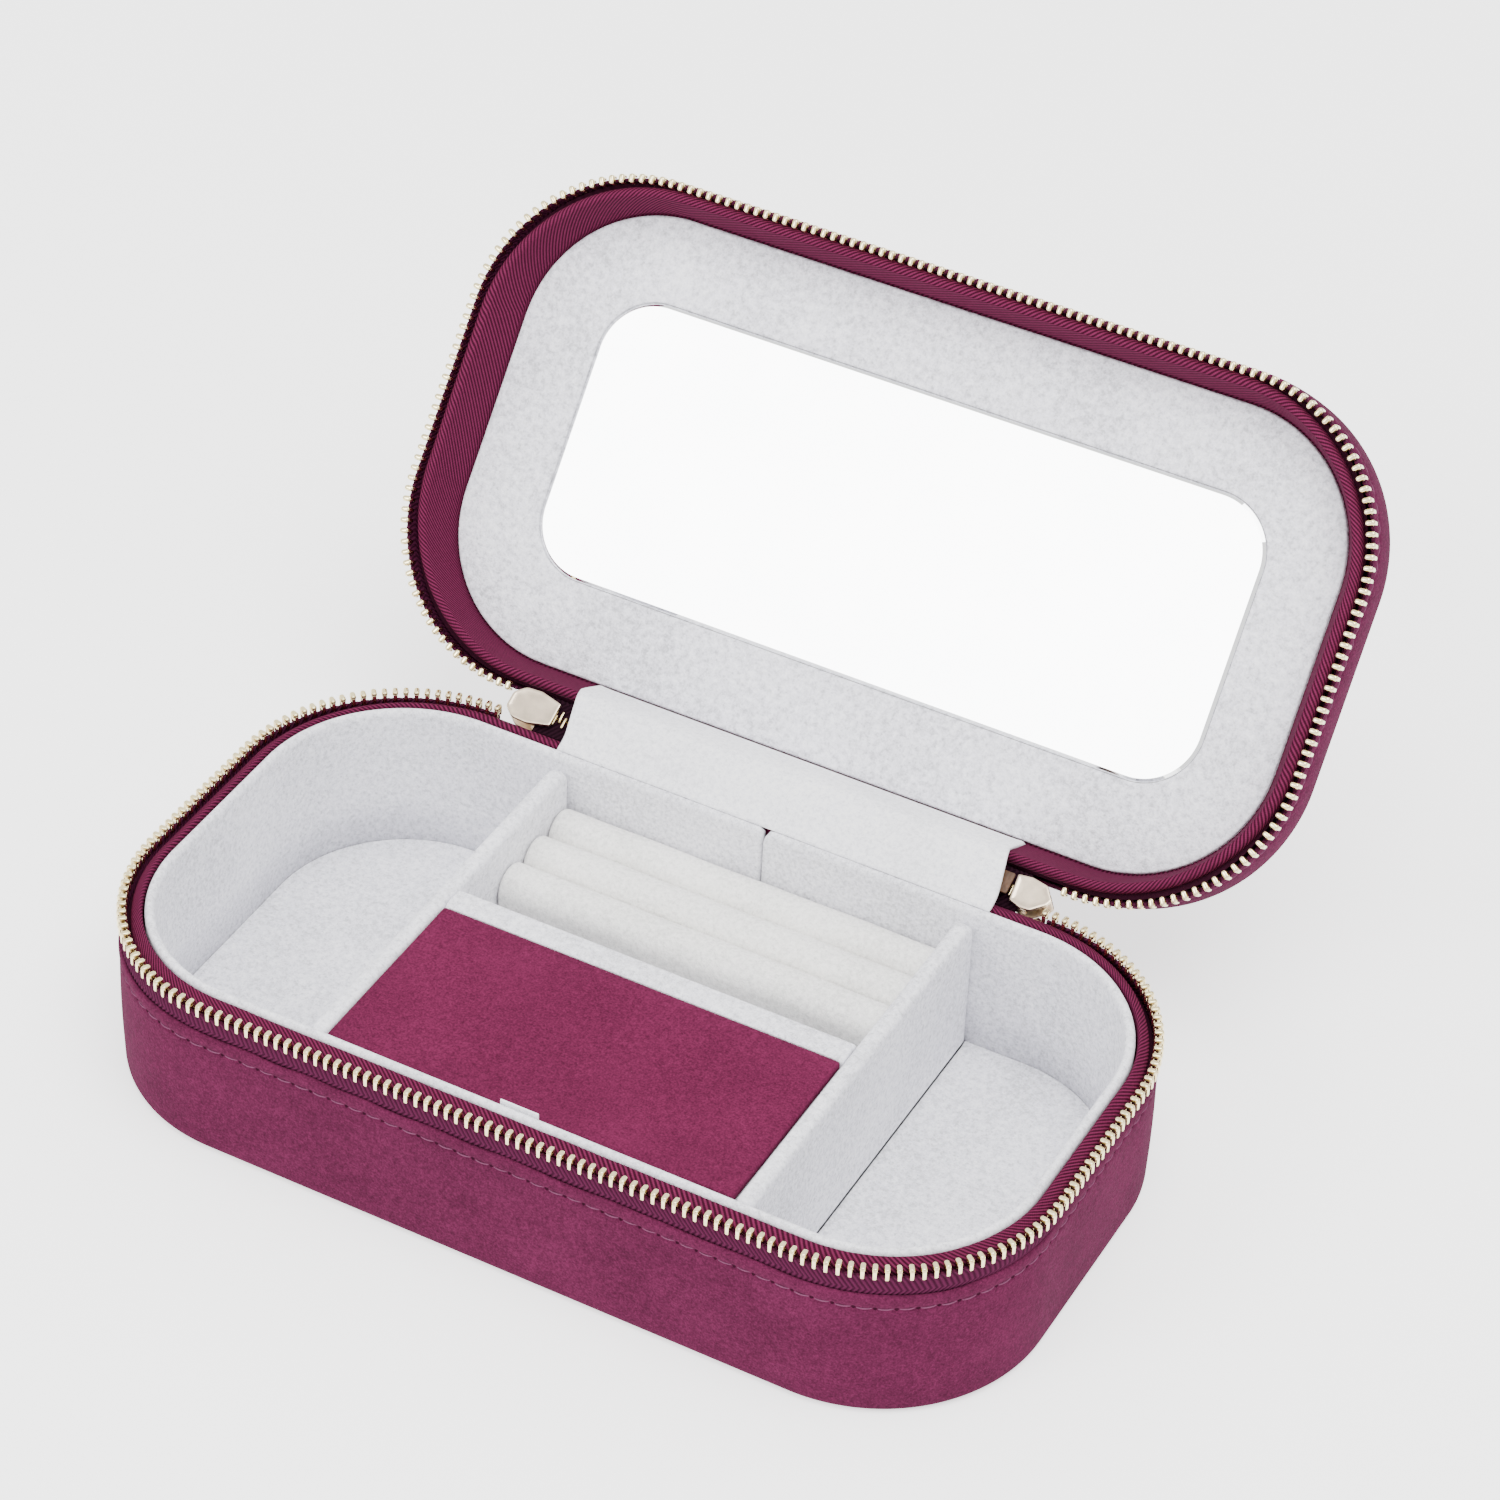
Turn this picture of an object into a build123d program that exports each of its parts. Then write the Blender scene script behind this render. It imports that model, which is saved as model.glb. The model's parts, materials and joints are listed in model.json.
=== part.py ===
"""Zip-round travel jewelry case, modelled open. Millimetres, +Z up, origin at the centre of the base's underside.

The lid's pieces are drawn on planes offset from lid_rim, whose local Z points from the lid's rim to its top.
The zipper's back run and its sliders are drawn on chain_plane, which tilts by half the lid's angle.
"""

from build123d import *
import os
from math import atan2, cos, degrees, radians, sin

os.makedirs("parts", exist_ok=True)

# ---- driving dimensions ----
case_length = 180.0
case_width = 99.2
corner_radius = 32.0
base_height = 32.0
lid_height = 17.0
edge_round = 1.8
lid_open_angle = 129.0
hinge_y = 52.1

suede = 0.6
fold_depth = 5.0
hem_width = 2.6
board_inner = 2.9
tape_slot = (0.65, 1.1)
tape_slot_depth = 6.0
clear = 0.05

liner_length = 172.8
liner_width = 89.2
liner_radius = 28.9
liner_wall = 2.4
liner_slit_x = 2.3
liner_slit = 0.5
floor_top = 2.2

collar_length = 176.6
collar_width = 94.2
collar_radius = 32.3
collar_seat = 3.0

zip_half_length = 90.0
zip_half_width = 48.7
zip_radius = 33.9
zip_start_x = 55.9
zip_end_gap = 1.1
tooth_pitch = 2.0
tooth_width = 1.2
tooth_depth = 2.6
tooth_bottom = 2.7
tape_top = 1.6
tape_thickness = 0.4

divider_height = 29.5
left_divider = (-41.0, -37.7)
right_divider = (42.4, 45.7)
cross_divider = (-2.4, 3.3)

roll_top = 24.0
roll_width = 8.7
roll_centres = (37.6, 28.7, 19.8)

flap_front = -41.6
flap_back = -2.6
flap_top = 31.0
flap_gap = 0.3
flap_axis_y = -2.5
flap_axis_z = 31.1

panel_depth = 9.6
panel_thickness = 1.5
mirror_thickness = 1.0
mirror_length = 137.0
mirror_width = 54.8
mirror_radius = 11.6
mirror_offset = 0.9

strip_ends = (-42.0, 47.4)
strip_thickness = 0.7
spine_ends = (-41.8, 43.4)
spine_thickness = 0.35
spine_y = 48.74

chain_half = 1.0
chain_gauge = 1.35
plate = 0.7
slider_length = 9.3
slider_half_width = 3.4
slider_tail_half = 2.6
slider_left_x = -50.35
slider_right_x = 51.45

# ---- shared planes and outlines ----
lid_turn = radians(lid_open_angle)
lid_rim = Plane(
    origin=(0, hinge_y * (1 - cos(lid_turn)), base_height + hinge_y * sin(lid_turn)),
    x_dir=(1, 0, 0),
    z_dir=(0, sin(lid_turn), cos(lid_turn)),
)
chain_plane = Plane(
    origin=(0, hinge_y, base_height),
    x_dir=(1, 0, 0),
    z_dir=(0, -cos(lid_turn / 2), sin(lid_turn / 2)),
)


def outline(inset):
    """Length, width and corner radius of the case's outside, inset on every side."""
    return case_length - 2 * inset, case_width - 2 * inset, corner_radius - inset


def insert_outline(inset):
    """Length, width and corner radius of the velvet insert, inset on every side."""
    return liner_length - 2 * inset, liner_width - 2 * inset, liner_radius - inset


def level(z):
    """A horizontal plane at height z."""
    return Plane.XY.offset(z)


def on_lid(point):
    """The place in the open case of a point (y, h) of the lid: y from its middle, h up from its rim."""
    place = lid_rim.from_local_coords(Vector(0, point[0], point[1]))
    return place.Y, place.Z


def finish(sub_part, name):
    """Label a finished piece and write its file."""
    sub_part.part.label = name
    export_step(sub_part.part, f"parts/{name}.step")


# ---- outer covers: a suede band folded in at the rim and turned under as a hem ----
def side_cover(name, bottom, height):
    """Cup-shaped suede band on the plane `bottom`, with a window inside its hem."""
    with BuildPart() as cover:
        with BuildSketch(bottom):
            RectangleRounded(*outline(0))
        extrude(amount=height - fold_depth)
        end = cover.faces().sort_by(Axis(bottom.origin, bottom.z_dir))[0]
        fillet(end.edges(), edge_round)
        with BuildPart(bottom.offset(suede), mode=Mode.PRIVATE) as hollow:
            with BuildSketch(bottom.offset(suede)):
                RectangleRounded(*outline(suede))
            extrude(amount=height)
            floor = hollow.faces().sort_by(Axis(bottom.origin, bottom.z_dir))[0]
            fillet(floor.edges(), edge_round - suede)
        add(hollow.part, mode=Mode.SUBTRACT)
        with BuildSketch(bottom):
            RectangleRounded(*outline(hem_width))
        extrude(amount=suede, mode=Mode.SUBTRACT)
    finish(cover, name)


def ring_board(name, bottom, height):
    """Stiff side wall, rebated outside near its rim for the zipper tape."""
    rebate = height - fold_depth - tape_slot_depth - 0.2
    foot = edge_round
    with BuildPart() as board:
        with BuildSketch(bottom.offset(foot)):
            RectangleRounded(*outline(suede + clear))
            RectangleRounded(*outline(board_inner), mode=Mode.SUBTRACT)
        extrude(amount=rebate - foot)
        with BuildSketch(bottom.offset(rebate)):
            RectangleRounded(*outline(tape_slot[1] + clear))
            RectangleRounded(*outline(board_inner), mode=Mode.SUBTRACT)
        extrude(amount=height - collar_seat - clear - rebate)
    finish(board, name)


def flat_piece(name, plane, size, thickness):
    """Rounded rectangular sheet or board."""
    with BuildPart() as sheet:
        with BuildSketch(plane):
            RectangleRounded(*size)
        extrude(amount=thickness)
    finish(sheet, name)


lid_top = Plane(
    origin=lid_rim.offset(lid_height).origin,
    x_dir=(1, 0, 0),
    z_dir=-lid_rim.z_dir,
)
side_cover("base_side_cover", level(0), base_height)
side_cover("lid_side_cover", lid_top, lid_height)
ring_board("base_wall_board", level(0), base_height)
ring_board("lid_wall_board", lid_top, lid_height)
flat_piece("base_bottom_cover", level(0), outline(hem_width + clear), suede)
flat_piece("lid_top_cover", lid_top, outline(hem_width + clear), suede)
flat_piece("base_floor_board", level(suede + clear), outline(board_inner + 0.1), 0.95)
flat_piece("lid_top_board", lid_top.offset(suede + clear), outline(board_inner + 0.1), 0.95)

# ---- zipper tapes and teeth around the two rims ----
with BuildLine() as zipper_line:
    FilletPolyline(
        (-zip_start_x, zip_half_width),
        (-zip_half_length, zip_half_width),
        (-zip_half_length, -zip_half_width),
        (zip_half_length, -zip_half_width),
        (zip_half_length, zip_half_width),
        (zip_start_x, zip_half_width),
        radius=zip_radius,
    )
zipper_wire = zipper_line.wire()
zipper_run = zipper_wire.length - zip_end_gap
tooth_count = int(zipper_run / tooth_pitch)


def tooth_places(phase):
    """Locations of one rim's teeth, each turned along the zipper, from the left slider to the right one."""
    places = []
    for number in range(tooth_count):
        share = (number + phase) * tooth_pitch / zipper_wire.length
        spot = zipper_wire @ share
        along = zipper_wire % share
        places.append(Location((spot.X, spot.Y, 0), (0, 0, degrees(atan2(along.Y, along.X)))))
    return places


def zipper_side(name, rim, inward, phase):
    """Tape and teeth of one rim. inward is -1 where the piece lies below its rim plane, 1 where it lies above."""
    tape_low, tape_high = sorted((inward * (fold_depth + tape_slot_depth), inward * tape_top))
    with BuildPart() as tape:
        with BuildSketch(rim.offset(tape_low)):
            RectangleRounded(*outline(tape_slot[0]))
            RectangleRounded(*outline(tape_slot[1]), mode=Mode.SUBTRACT)
            with Locations((0, zip_half_width)):
                Rectangle(2 * zip_start_x + 3.4, 12, mode=Mode.SUBTRACT)
        extrude(amount=tape_high - tape_low)
    finish(tape, f"{name}_zipper_tape")
    tooth_low = sorted((inward * tooth_bottom, inward * clear))[0]
    with BuildPart() as teeth:
        with BuildSketch(rim.offset(tooth_low)):
            with Locations(tooth_places(phase)):
                Rectangle(tooth_width, tooth_depth)
        extrude(amount=tooth_bottom - clear)
    finish(teeth, f"{name}_zipper_teeth")


zipper_side("base", level(base_height), -1, 0.5)
zipper_side("lid", lid_rim, 1, 1.0)

# ---- base: twill collar, velvet insert, floor pads, dividers ----
with BuildPart() as base_collar:
    with BuildSketch(level(base_height - collar_seat)):
        RectangleRounded(collar_length, collar_width, collar_radius)
        RectangleRounded(*insert_outline(-clear), mode=Mode.SUBTRACT)
    extrude(amount=collar_seat - 0.2)
    rim_edges = base_collar.faces().sort_by(Axis.Z)[-1].outer_wire().edges()
    fillet(rim_edges, 0.8)
finish(base_collar, "base_collar")

liner_foot = 1.65
with BuildPart() as base_liner:
    with BuildSketch(level(liner_foot)):
        RectangleRounded(*insert_outline(0))
        RectangleRounded(*insert_outline(liner_wall), mode=Mode.SUBTRACT)
        with Locations((liner_slit_x, liner_width / 2)):
            Rectangle(liner_slit, 4 * liner_wall, mode=Mode.SUBTRACT)
    extrude(amount=base_height - liner_foot)
    liner_top = base_liner.faces().sort_by(Axis.Z)[-1]
    fillet(liner_top.edges().filter_by_position(Axis.Y, -100, 100).filter_by(lambda e: e.length > 5), 0.9)
finish(base_liner, "base_liner")


def floor_pad(name, x_from, x_to, y_from, y_to):
    """Velvet-covered pad on the floor, cut to its compartment."""
    with BuildPart() as pad:
        with BuildSketch(level(liner_foot)):
            RectangleRounded(*insert_outline(liner_wall + 0.15))
            with Locations(((x_from + x_to) / 2, (y_from + y_to) / 2)):
                Rectangle(x_to - x_from, y_to - y_from, mode=Mode.INTERSECT)
        extrude(amount=floor_top - liner_foot)
    finish(pad, name)


floor_pad("left_floor_pad", -90, left_divider[0] - 0.1, -50, 50)
floor_pad("right_floor_pad", right_divider[1] + 0.1, 90, -50, 50)
floor_pad("flap_box_floor_pad", left_divider[1] + 0.1, right_divider[0] - 0.1, -50, cross_divider[0] - 0.1)
floor_pad("ring_floor_pad", left_divider[1] + 0.1, right_divider[0] - 0.1, cross_divider[1] + 0.1, 50)

insert_inner_y = liner_width / 2 - liner_wall - 0.1


def end_divider(name, x_from, x_to):
    """Velvet-wrapped divider from front to back, its top edge rounded and dropping at the ends."""
    with BuildPart() as divider:
        with BuildSketch(Plane.YZ.offset(x_from)):
            with BuildLine():
                FilletPolyline(
                    (-insert_inner_y, liner_foot),
                    (insert_inner_y, liner_foot),
                    (insert_inner_y, liner_foot + divider_height),
                    (-insert_inner_y, liner_foot + divider_height),
                    radius=(0, 0, 3.2, 2.0),
                    close=True,
                )
            make_face()
        extrude(amount=x_to - x_from)
        top = divider.faces().filter_by(Axis.Z).sort_by(Axis.Z)[-1]
        fillet(top.edges().filter_by(Axis.Y), 1.2)
    finish(divider, name)


end_divider("divider_left", *left_divider)
end_divider("divider_right", *right_divider)

with BuildPart() as divider_cross:
    with BuildSketch(Plane.YZ.offset(left_divider[1] + 0.1)):
        with Locations((sum(cross_divider) / 2, liner_foot)):
            Rectangle(
                cross_divider[1] - cross_divider[0],
                flap_top - liner_foot,
                align=(Align.CENTER, Align.MIN),
            )
    extrude(amount=right_divider[0] - left_divider[1] - 0.2)
    cross_top = divider_cross.faces().sort_by(Axis.Z)[-1]
    fillet(cross_top.edges().filter_by(Axis.X), 1.2)
finish(divider_cross, "divider_cross")

# ---- ring bay: three velvet-covered foam rolls side by side ----
for roll_number, roll_y in enumerate(roll_centres, start=1):
    with BuildPart() as ring_roll:
        with BuildSketch(Plane.YZ.offset(left_divider[1] + 0.2)):
            with BuildLine():
                foot_left = (roll_y - roll_width / 2, floor_top + 0.1)
                foot_right = (roll_y + roll_width / 2, floor_top + 0.1)
                shoulder_left = (roll_y - roll_width / 2, roll_top - roll_width / 2)
                shoulder_right = (roll_y + roll_width / 2, roll_top - roll_width / 2)
                Polyline(shoulder_left, foot_left, foot_right, shoulder_right)
                ThreePointArc(shoulder_right, (roll_y, roll_top), shoulder_left)
            make_face()
        extrude(amount=right_divider[0] - left_divider[1] - 0.4)
    finish(ring_roll, f"ring_roll_{roll_number}")

# ---- flap over the front compartment ----
flap_left = left_divider[1] + flap_gap
flap_right = right_divider[0] - flap_gap
flap_middle = ((flap_left + flap_right) / 2, (flap_front + flap_back) / 2)
flap_size = (flap_right - flap_left, flap_back - flap_front)
flap_thickness = 1.7

with BuildPart() as flap_cover:
    with BuildSketch(level(flap_top - flap_thickness)):
        with Locations(flap_middle):
            Rectangle(*flap_size)
    extrude(amount=flap_thickness)
    flap_face = flap_cover.faces().sort_by(Axis.Z)[-1]
    fillet(flap_face.edges(), 0.5)
    with BuildSketch(level(flap_top - flap_thickness)):
        with Locations(flap_middle):
            Rectangle(flap_size[0] - 0.9, flap_size[1] - 0.9)
    extrude(amount=flap_thickness - 0.45, mode=Mode.SUBTRACT)
finish(flap_cover, "flap_cover")

with BuildPart() as flap_board:
    with BuildSketch(level(flap_top - flap_thickness)):
        with Locations(flap_middle):
            Rectangle(flap_size[0] - 1.0, flap_size[1] - 1.0)
    extrude(amount=flap_thickness - 0.5)
finish(flap_board, "flap_board")

with BuildPart() as flap_lining:
    with BuildSketch(level(flap_top - flap_thickness - 0.45)):
        with Locations(flap_middle):
            Rectangle(flap_size[0] - 0.4, flap_size[1] - 0.4)
    extrude(amount=0.4)
finish(flap_lining, "flap_lining")

tab_width = 7.5
tab_centre = 1.4
with BuildPart() as flap_tab:
    with BuildSketch(Plane.XY.offset(flap_top - flap_thickness - 0.4)):
        with Locations((tab_centre, flap_front - 0.27)):
            Rectangle(tab_width, 0.35)
    extrude(amount=flap_thickness + 2.2)
finish(flap_tab, "flap_tab")

with BuildPart() as flap_hinge:
    with BuildSketch(Plane.YZ.offset(flap_left + 1)):
        with Locations(((flap_back + cross_divider[0]) / 2, flap_top - 3.0)):
            Rectangle(0.12, 3.0, align=(Align.CENTER, Align.MIN))
    extrude(amount=flap_size[0] - 2)
finish(flap_hinge, "flap_hinge")

# ---- lid: sloping twill collar, mirror panel and what backs it ----
with BuildPart() as lid_collar:
    with BuildSketch(lid_rim.offset(0.3)):
        RectangleRounded(collar_length, collar_width, collar_radius)
    extrude(amount=collar_seat - 0.3)
    with BuildSketch(lid_rim.offset(collar_seat)):
        RectangleRounded(*outline(board_inner + 0.1))
    extrude(amount=panel_depth - clear - collar_seat)
    with BuildSketch(lid_rim.offset(0.2)) as mouth:
        RectangleRounded(175.2, 92.8, 30.8)
    with BuildSketch(lid_rim.offset(panel_depth)) as throat:
        RectangleRounded(168.6, 89.2, 27.1)
    loft([mouth.sketch, throat.sketch], mode=Mode.SUBTRACT)
finish(lid_collar, "lid_collar")

with BuildPart() as lid_panel:
    with BuildSketch(lid_rim.offset(panel_depth)):
        RectangleRounded(*outline(board_inner + 0.1))
        with Locations((mirror_offset, 0)):
            RectangleRounded(mirror_length, mirror_width, mirror_radius, mode=Mode.SUBTRACT)
    extrude(amount=panel_thickness)
finish(lid_panel, "lid_panel")

with BuildPart() as mirror:
    with BuildSketch(lid_rim.offset(panel_depth + 0.1)):
        with Locations((mirror_offset, 0)):
            RectangleRounded(mirror_length - 0.2, mirror_width - 0.2, mirror_radius - 0.1)
    extrude(amount=mirror_thickness)
finish(mirror, "mirror")

flat_piece(
    "mirror_backing",
    lid_rim.offset(panel_depth + panel_thickness + clear),
    outline(board_inner + 0.1),
    0.95,
)
flat_piece("lid_padding", lid_rim.offset(13.9), outline(board_inner + 0.2), 1.4)

# ---- fabric hinge: inner velvet strip and outer suede spine ----
with BuildPart() as hinge_strip:
    with BuildSketch(Plane.YZ.offset(strip_ends[0])):
        with BuildLine():
            Spline((45.1, 32.4), (48.4, 35.2), (51.9, 36.8), on_lid((45.95, -0.4)), on_lid((44.0, 9.2)))
        trace(line_width=strip_thickness)
    extrude(amount=strip_ends[1] - strip_ends[0])
finish(hinge_strip, "hinge_strip")

with BuildPart() as hinge_spine:
    with BuildSketch(Plane.YZ.offset(spine_ends[0])):
        with BuildLine():
            FilletPolyline(
                (spine_y, base_height - 9.8),
                (spine_y, base_height - 3.6),
                on_lid((spine_y, 3.6)),
                on_lid((spine_y, 9.8)),
                radius=1.5,
            )
        trace(line_width=spine_thickness)
    extrude(amount=spine_ends[1] - spine_ends[0])
finish(hinge_spine, "hinge_spine")

# ---- closed ends of the zipper behind the sliders ----
chain_ends = ((-49.6, -38.0), (38.0, 50.3))

with BuildPart() as back_zipper_tape:
    with BuildSketch(chain_plane.offset(-tape_thickness / 2)):
        for end_from, end_to in chain_ends:
            with Locations(((end_from + end_to) / 2, 0)):
                Rectangle(end_to - end_from, 6.8)
    extrude(amount=tape_thickness)
finish(back_zipper_tape, "back_zipper_tape")

with BuildPart() as back_zipper_teeth:
    with BuildSketch(chain_plane.offset(-chain_half)):
        for tooth_number in range(8):
            side = 1 if tooth_number % 2 else -1
            with Locations(
                (-42.4 - tooth_number, side * 0.6),
                (42.6 + tooth_number, side * 0.6),
            ):
                Rectangle(0.85, tooth_depth)
    extrude(amount=2 * chain_half)
finish(back_zipper_teeth, "back_zipper_teeth")

patch_half = 2.1
with BuildPart() as zipper_end_patch:
    with BuildSketch(chain_plane.offset(chain_half + clear)):
        with Locations((44.6, 0)):
            Rectangle(3.8, 2 * patch_half)
    extrude(amount=1.45)
    with BuildSketch(chain_plane.offset(chain_gauge + plate + 0.1)):
        with Locations((46.1, 0)):
            RectangleRounded(6.8, 2 * patch_half, 0.4)
    extrude(amount=0.35)
finish(zipper_end_patch, "zipper_end_patch")

# ---- sliders: inner and outer shields on a post, with a bail for the puller ----
bail_bar = 3.9
bail_radius = 0.45


def slider(name, x, mouth):
    """Slider centred at x whose mouth points along mouth * X."""
    end = slider_length / 2
    with BuildPart() as body:
        for low in (chain_gauge, -chain_gauge - plate):
            with BuildSketch(chain_plane.offset(low)):
                with BuildLine():
                    FilletPolyline(
                        (x - mouth * end, -slider_tail_half),
                        (x + mouth * 0.6, -slider_half_width),
                        (x + mouth * end, -0.8 * slider_half_width),
                        (x + mouth * end, 0.8 * slider_half_width),
                        (x + mouth * 0.6, slider_half_width),
                        (x - mouth * end, slider_tail_half),
                        radius=0.9,
                        close=True,
                    )
                make_face()
            extrude(amount=plate)
        with BuildSketch(chain_plane.offset(-chain_gauge)):
            with Locations((x + mouth * 2.2, 0)):
                Circle(1.0)
        extrude(amount=2 * chain_gauge)
        for low in (0.55, -chain_gauge):
            with BuildSketch(chain_plane.offset(low)):
                for side in (-1, 1):
                    Polygon(
                        (x - mouth * 4.0, side * 2.0),
                        (x - mouth * 4.0, side * 2.5),
                        (x + mouth * 0.2, side * 3.15),
                        (x + mouth * 0.2, side * 2.65),
                        align=None,
                    )
            extrude(amount=chain_gauge - 0.55)
        with BuildSketch(chain_plane.offset(-bail_bar - bail_radius)):
            with Locations((x - 2.3, 0), (x + 2.3, 0)):
                Rectangle(0.9, 1.1)
        extrude(amount=bail_bar + bail_radius - chain_gauge - plate)
        bar_end = chain_plane.offset(-bail_bar).from_local_coords(Vector(x - 2.3, 0, 0))
        with BuildSketch(Plane(origin=bar_end, x_dir=(0, 1, 0), z_dir=(1, 0, 0))):
            Circle(bail_radius)
        extrude(amount=4.6)
    finish(body, name)


# ---- pullers: a wire link round the bail bar and a flat tab hanging from it ----
link_wire = 0.8
link_inner = 0.75
link_drop = 2.5
tab_hole = 1.1
tab_length = 20.0
tab_half_width = 2.75
tab_thickness = 1.0
bar_place = chain_plane.offset(-bail_bar).origin
link_top = bar_place.Z + bail_radius + clear - link_inner
link_low = link_top - link_drop
tab_top = link_low - link_inner - link_wire / 2 + clear - tab_hole + link_wire / 2


def puller(side, x):
    """Link and tab hanging from the slider at x."""
    reach = link_inner + link_wire / 2
    with BuildPart() as link:
        with BuildLine(Plane.YZ.offset(x)):
            FilletPolyline(
                (bar_place.Y - reach, link_top + reach),
                (bar_place.Y + reach, link_top + reach),
                (bar_place.Y + reach, link_low - reach),
                (bar_place.Y - reach, link_low - reach),
                radius=reach - 0.01,
                close=True,
            )
        with BuildSketch(Plane.XY.offset((link_top + link_low) / 2)):
            with Locations((x, bar_place.Y + reach)):
                Circle(link_wire / 2)
        sweep()
    finish(link, f"puller_link_{side}")
    with BuildPart() as tab:
        with BuildSketch(Plane.XZ.offset(-bar_place.Y - tab_thickness / 2)):
            with BuildLine():
                FilletPolyline(
                    (x - 2.1, tab_top + 2.1),
                    (x + 2.1, tab_top + 2.1),
                    (x + 2.1, tab_top - 1.0),
                    (x + tab_half_width, tab_top - 4.0),
                    (x + tab_half_width, tab_top + 2.1 - tab_length),
                    (x - tab_half_width, tab_top + 2.1 - tab_length),
                    (x - tab_half_width, tab_top - 4.0),
                    (x - 2.1, tab_top - 1.0),
                    radius=1.3,
                    close=True,
                )
            make_face()
            with Locations((x, tab_top)):
                Circle(tab_hole, mode=Mode.SUBTRACT)
        extrude(amount=tab_thickness)
        rims = tab.faces().filter_by(Axis.Y)
        fillet(rims.wires().sort_by(SortBy.LENGTH)[-2:].edges(), 0.25)
    finish(tab, f"puller_{side}")


slider("slider_left", slider_left_x, -1)
slider("slider_right", slider_right_x, 1)
puller("left", slider_left_x)
puller("right", slider_right_x)
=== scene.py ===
import json
import math
import random

import bmesh
import bpy
import numpy as np
from mathutils import Matrix, Vector
from numpy.linalg import norm


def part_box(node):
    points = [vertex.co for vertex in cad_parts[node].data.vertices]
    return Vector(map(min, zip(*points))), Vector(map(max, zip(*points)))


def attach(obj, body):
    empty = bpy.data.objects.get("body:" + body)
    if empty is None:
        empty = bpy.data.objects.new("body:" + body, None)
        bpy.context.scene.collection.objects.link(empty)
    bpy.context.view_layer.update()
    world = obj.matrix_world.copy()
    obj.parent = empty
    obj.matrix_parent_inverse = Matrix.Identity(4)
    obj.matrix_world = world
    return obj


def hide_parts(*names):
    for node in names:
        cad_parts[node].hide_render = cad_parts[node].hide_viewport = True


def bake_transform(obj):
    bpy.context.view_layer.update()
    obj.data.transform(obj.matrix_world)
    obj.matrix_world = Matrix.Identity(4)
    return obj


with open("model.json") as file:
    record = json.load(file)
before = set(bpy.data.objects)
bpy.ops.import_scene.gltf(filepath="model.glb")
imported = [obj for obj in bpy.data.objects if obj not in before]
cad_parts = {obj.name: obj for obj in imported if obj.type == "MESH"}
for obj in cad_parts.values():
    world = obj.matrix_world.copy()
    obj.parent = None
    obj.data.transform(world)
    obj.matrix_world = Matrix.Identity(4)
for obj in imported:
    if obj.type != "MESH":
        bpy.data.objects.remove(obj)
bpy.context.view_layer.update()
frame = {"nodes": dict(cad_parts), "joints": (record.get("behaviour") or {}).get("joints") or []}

# Lengths below are in millimetres; meshes are made in metres, in the CAD frame.
MM = 0.001
rng = random.Random(20)
joints = {j["name"]: j for j in frame["joints"]}


def span(node):
    lo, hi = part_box(node)
    return np.array(lo) * 1000, np.array(hi) * 1000


# ---- measurements from the frame
cover_hi = span("base_side_cover")[1]
HALF_X, HALF_Y = cover_hi[0], cover_hi[1]
FOLD_Z = cover_hi[2]
CORNER = 32.0
RIM_Z = span("base_liner")[1][2]
LID_H = 17.0
FOLD_DEPTH = RIM_Z - FOLD_Z - 0.6
HINGE = np.array(joints["lid_hinge"]["pos_m"]) * 1000
OPEN = math.radians(joints["lid_hinge"]["range_deg"][1])
HY, HZ = HINGE[1], HINGE[2]

LID_O = np.array([0, HY * (1 - math.cos(OPEN)), HZ + HY * math.sin(OPEN)])
LID_Y = np.array([0, math.cos(OPEN), -math.sin(OPEN)])
LID_Z = np.array([0, math.sin(OPEN), math.cos(OPEN)])
CH_Y = np.array([0, math.sin(OPEN / 2), math.cos(OPEN / 2)])
CH_Z = np.array([0, -math.cos(OPEN / 2), math.sin(OPEN / 2)])
AXIS_X = np.array([1.0, 0, 0])


def on_base(x, y, z):
    return np.stack(np.broadcast_arrays(x, y, z), -1).astype(float)


def on_lid(x, y, h):
    p = on_base(x, y, h)
    return LID_O + p[..., :1] * AXIS_X + p[..., 1:2] * LID_Y + p[..., 2:] * LID_Z


def on_chain(x, w, h):
    p = on_base(x, w, h)
    return HINGE * [0, 1, 1] + p[..., :1] * AXIS_X + p[..., 1:2] * CH_Y + p[..., 2:] * CH_Z


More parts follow.
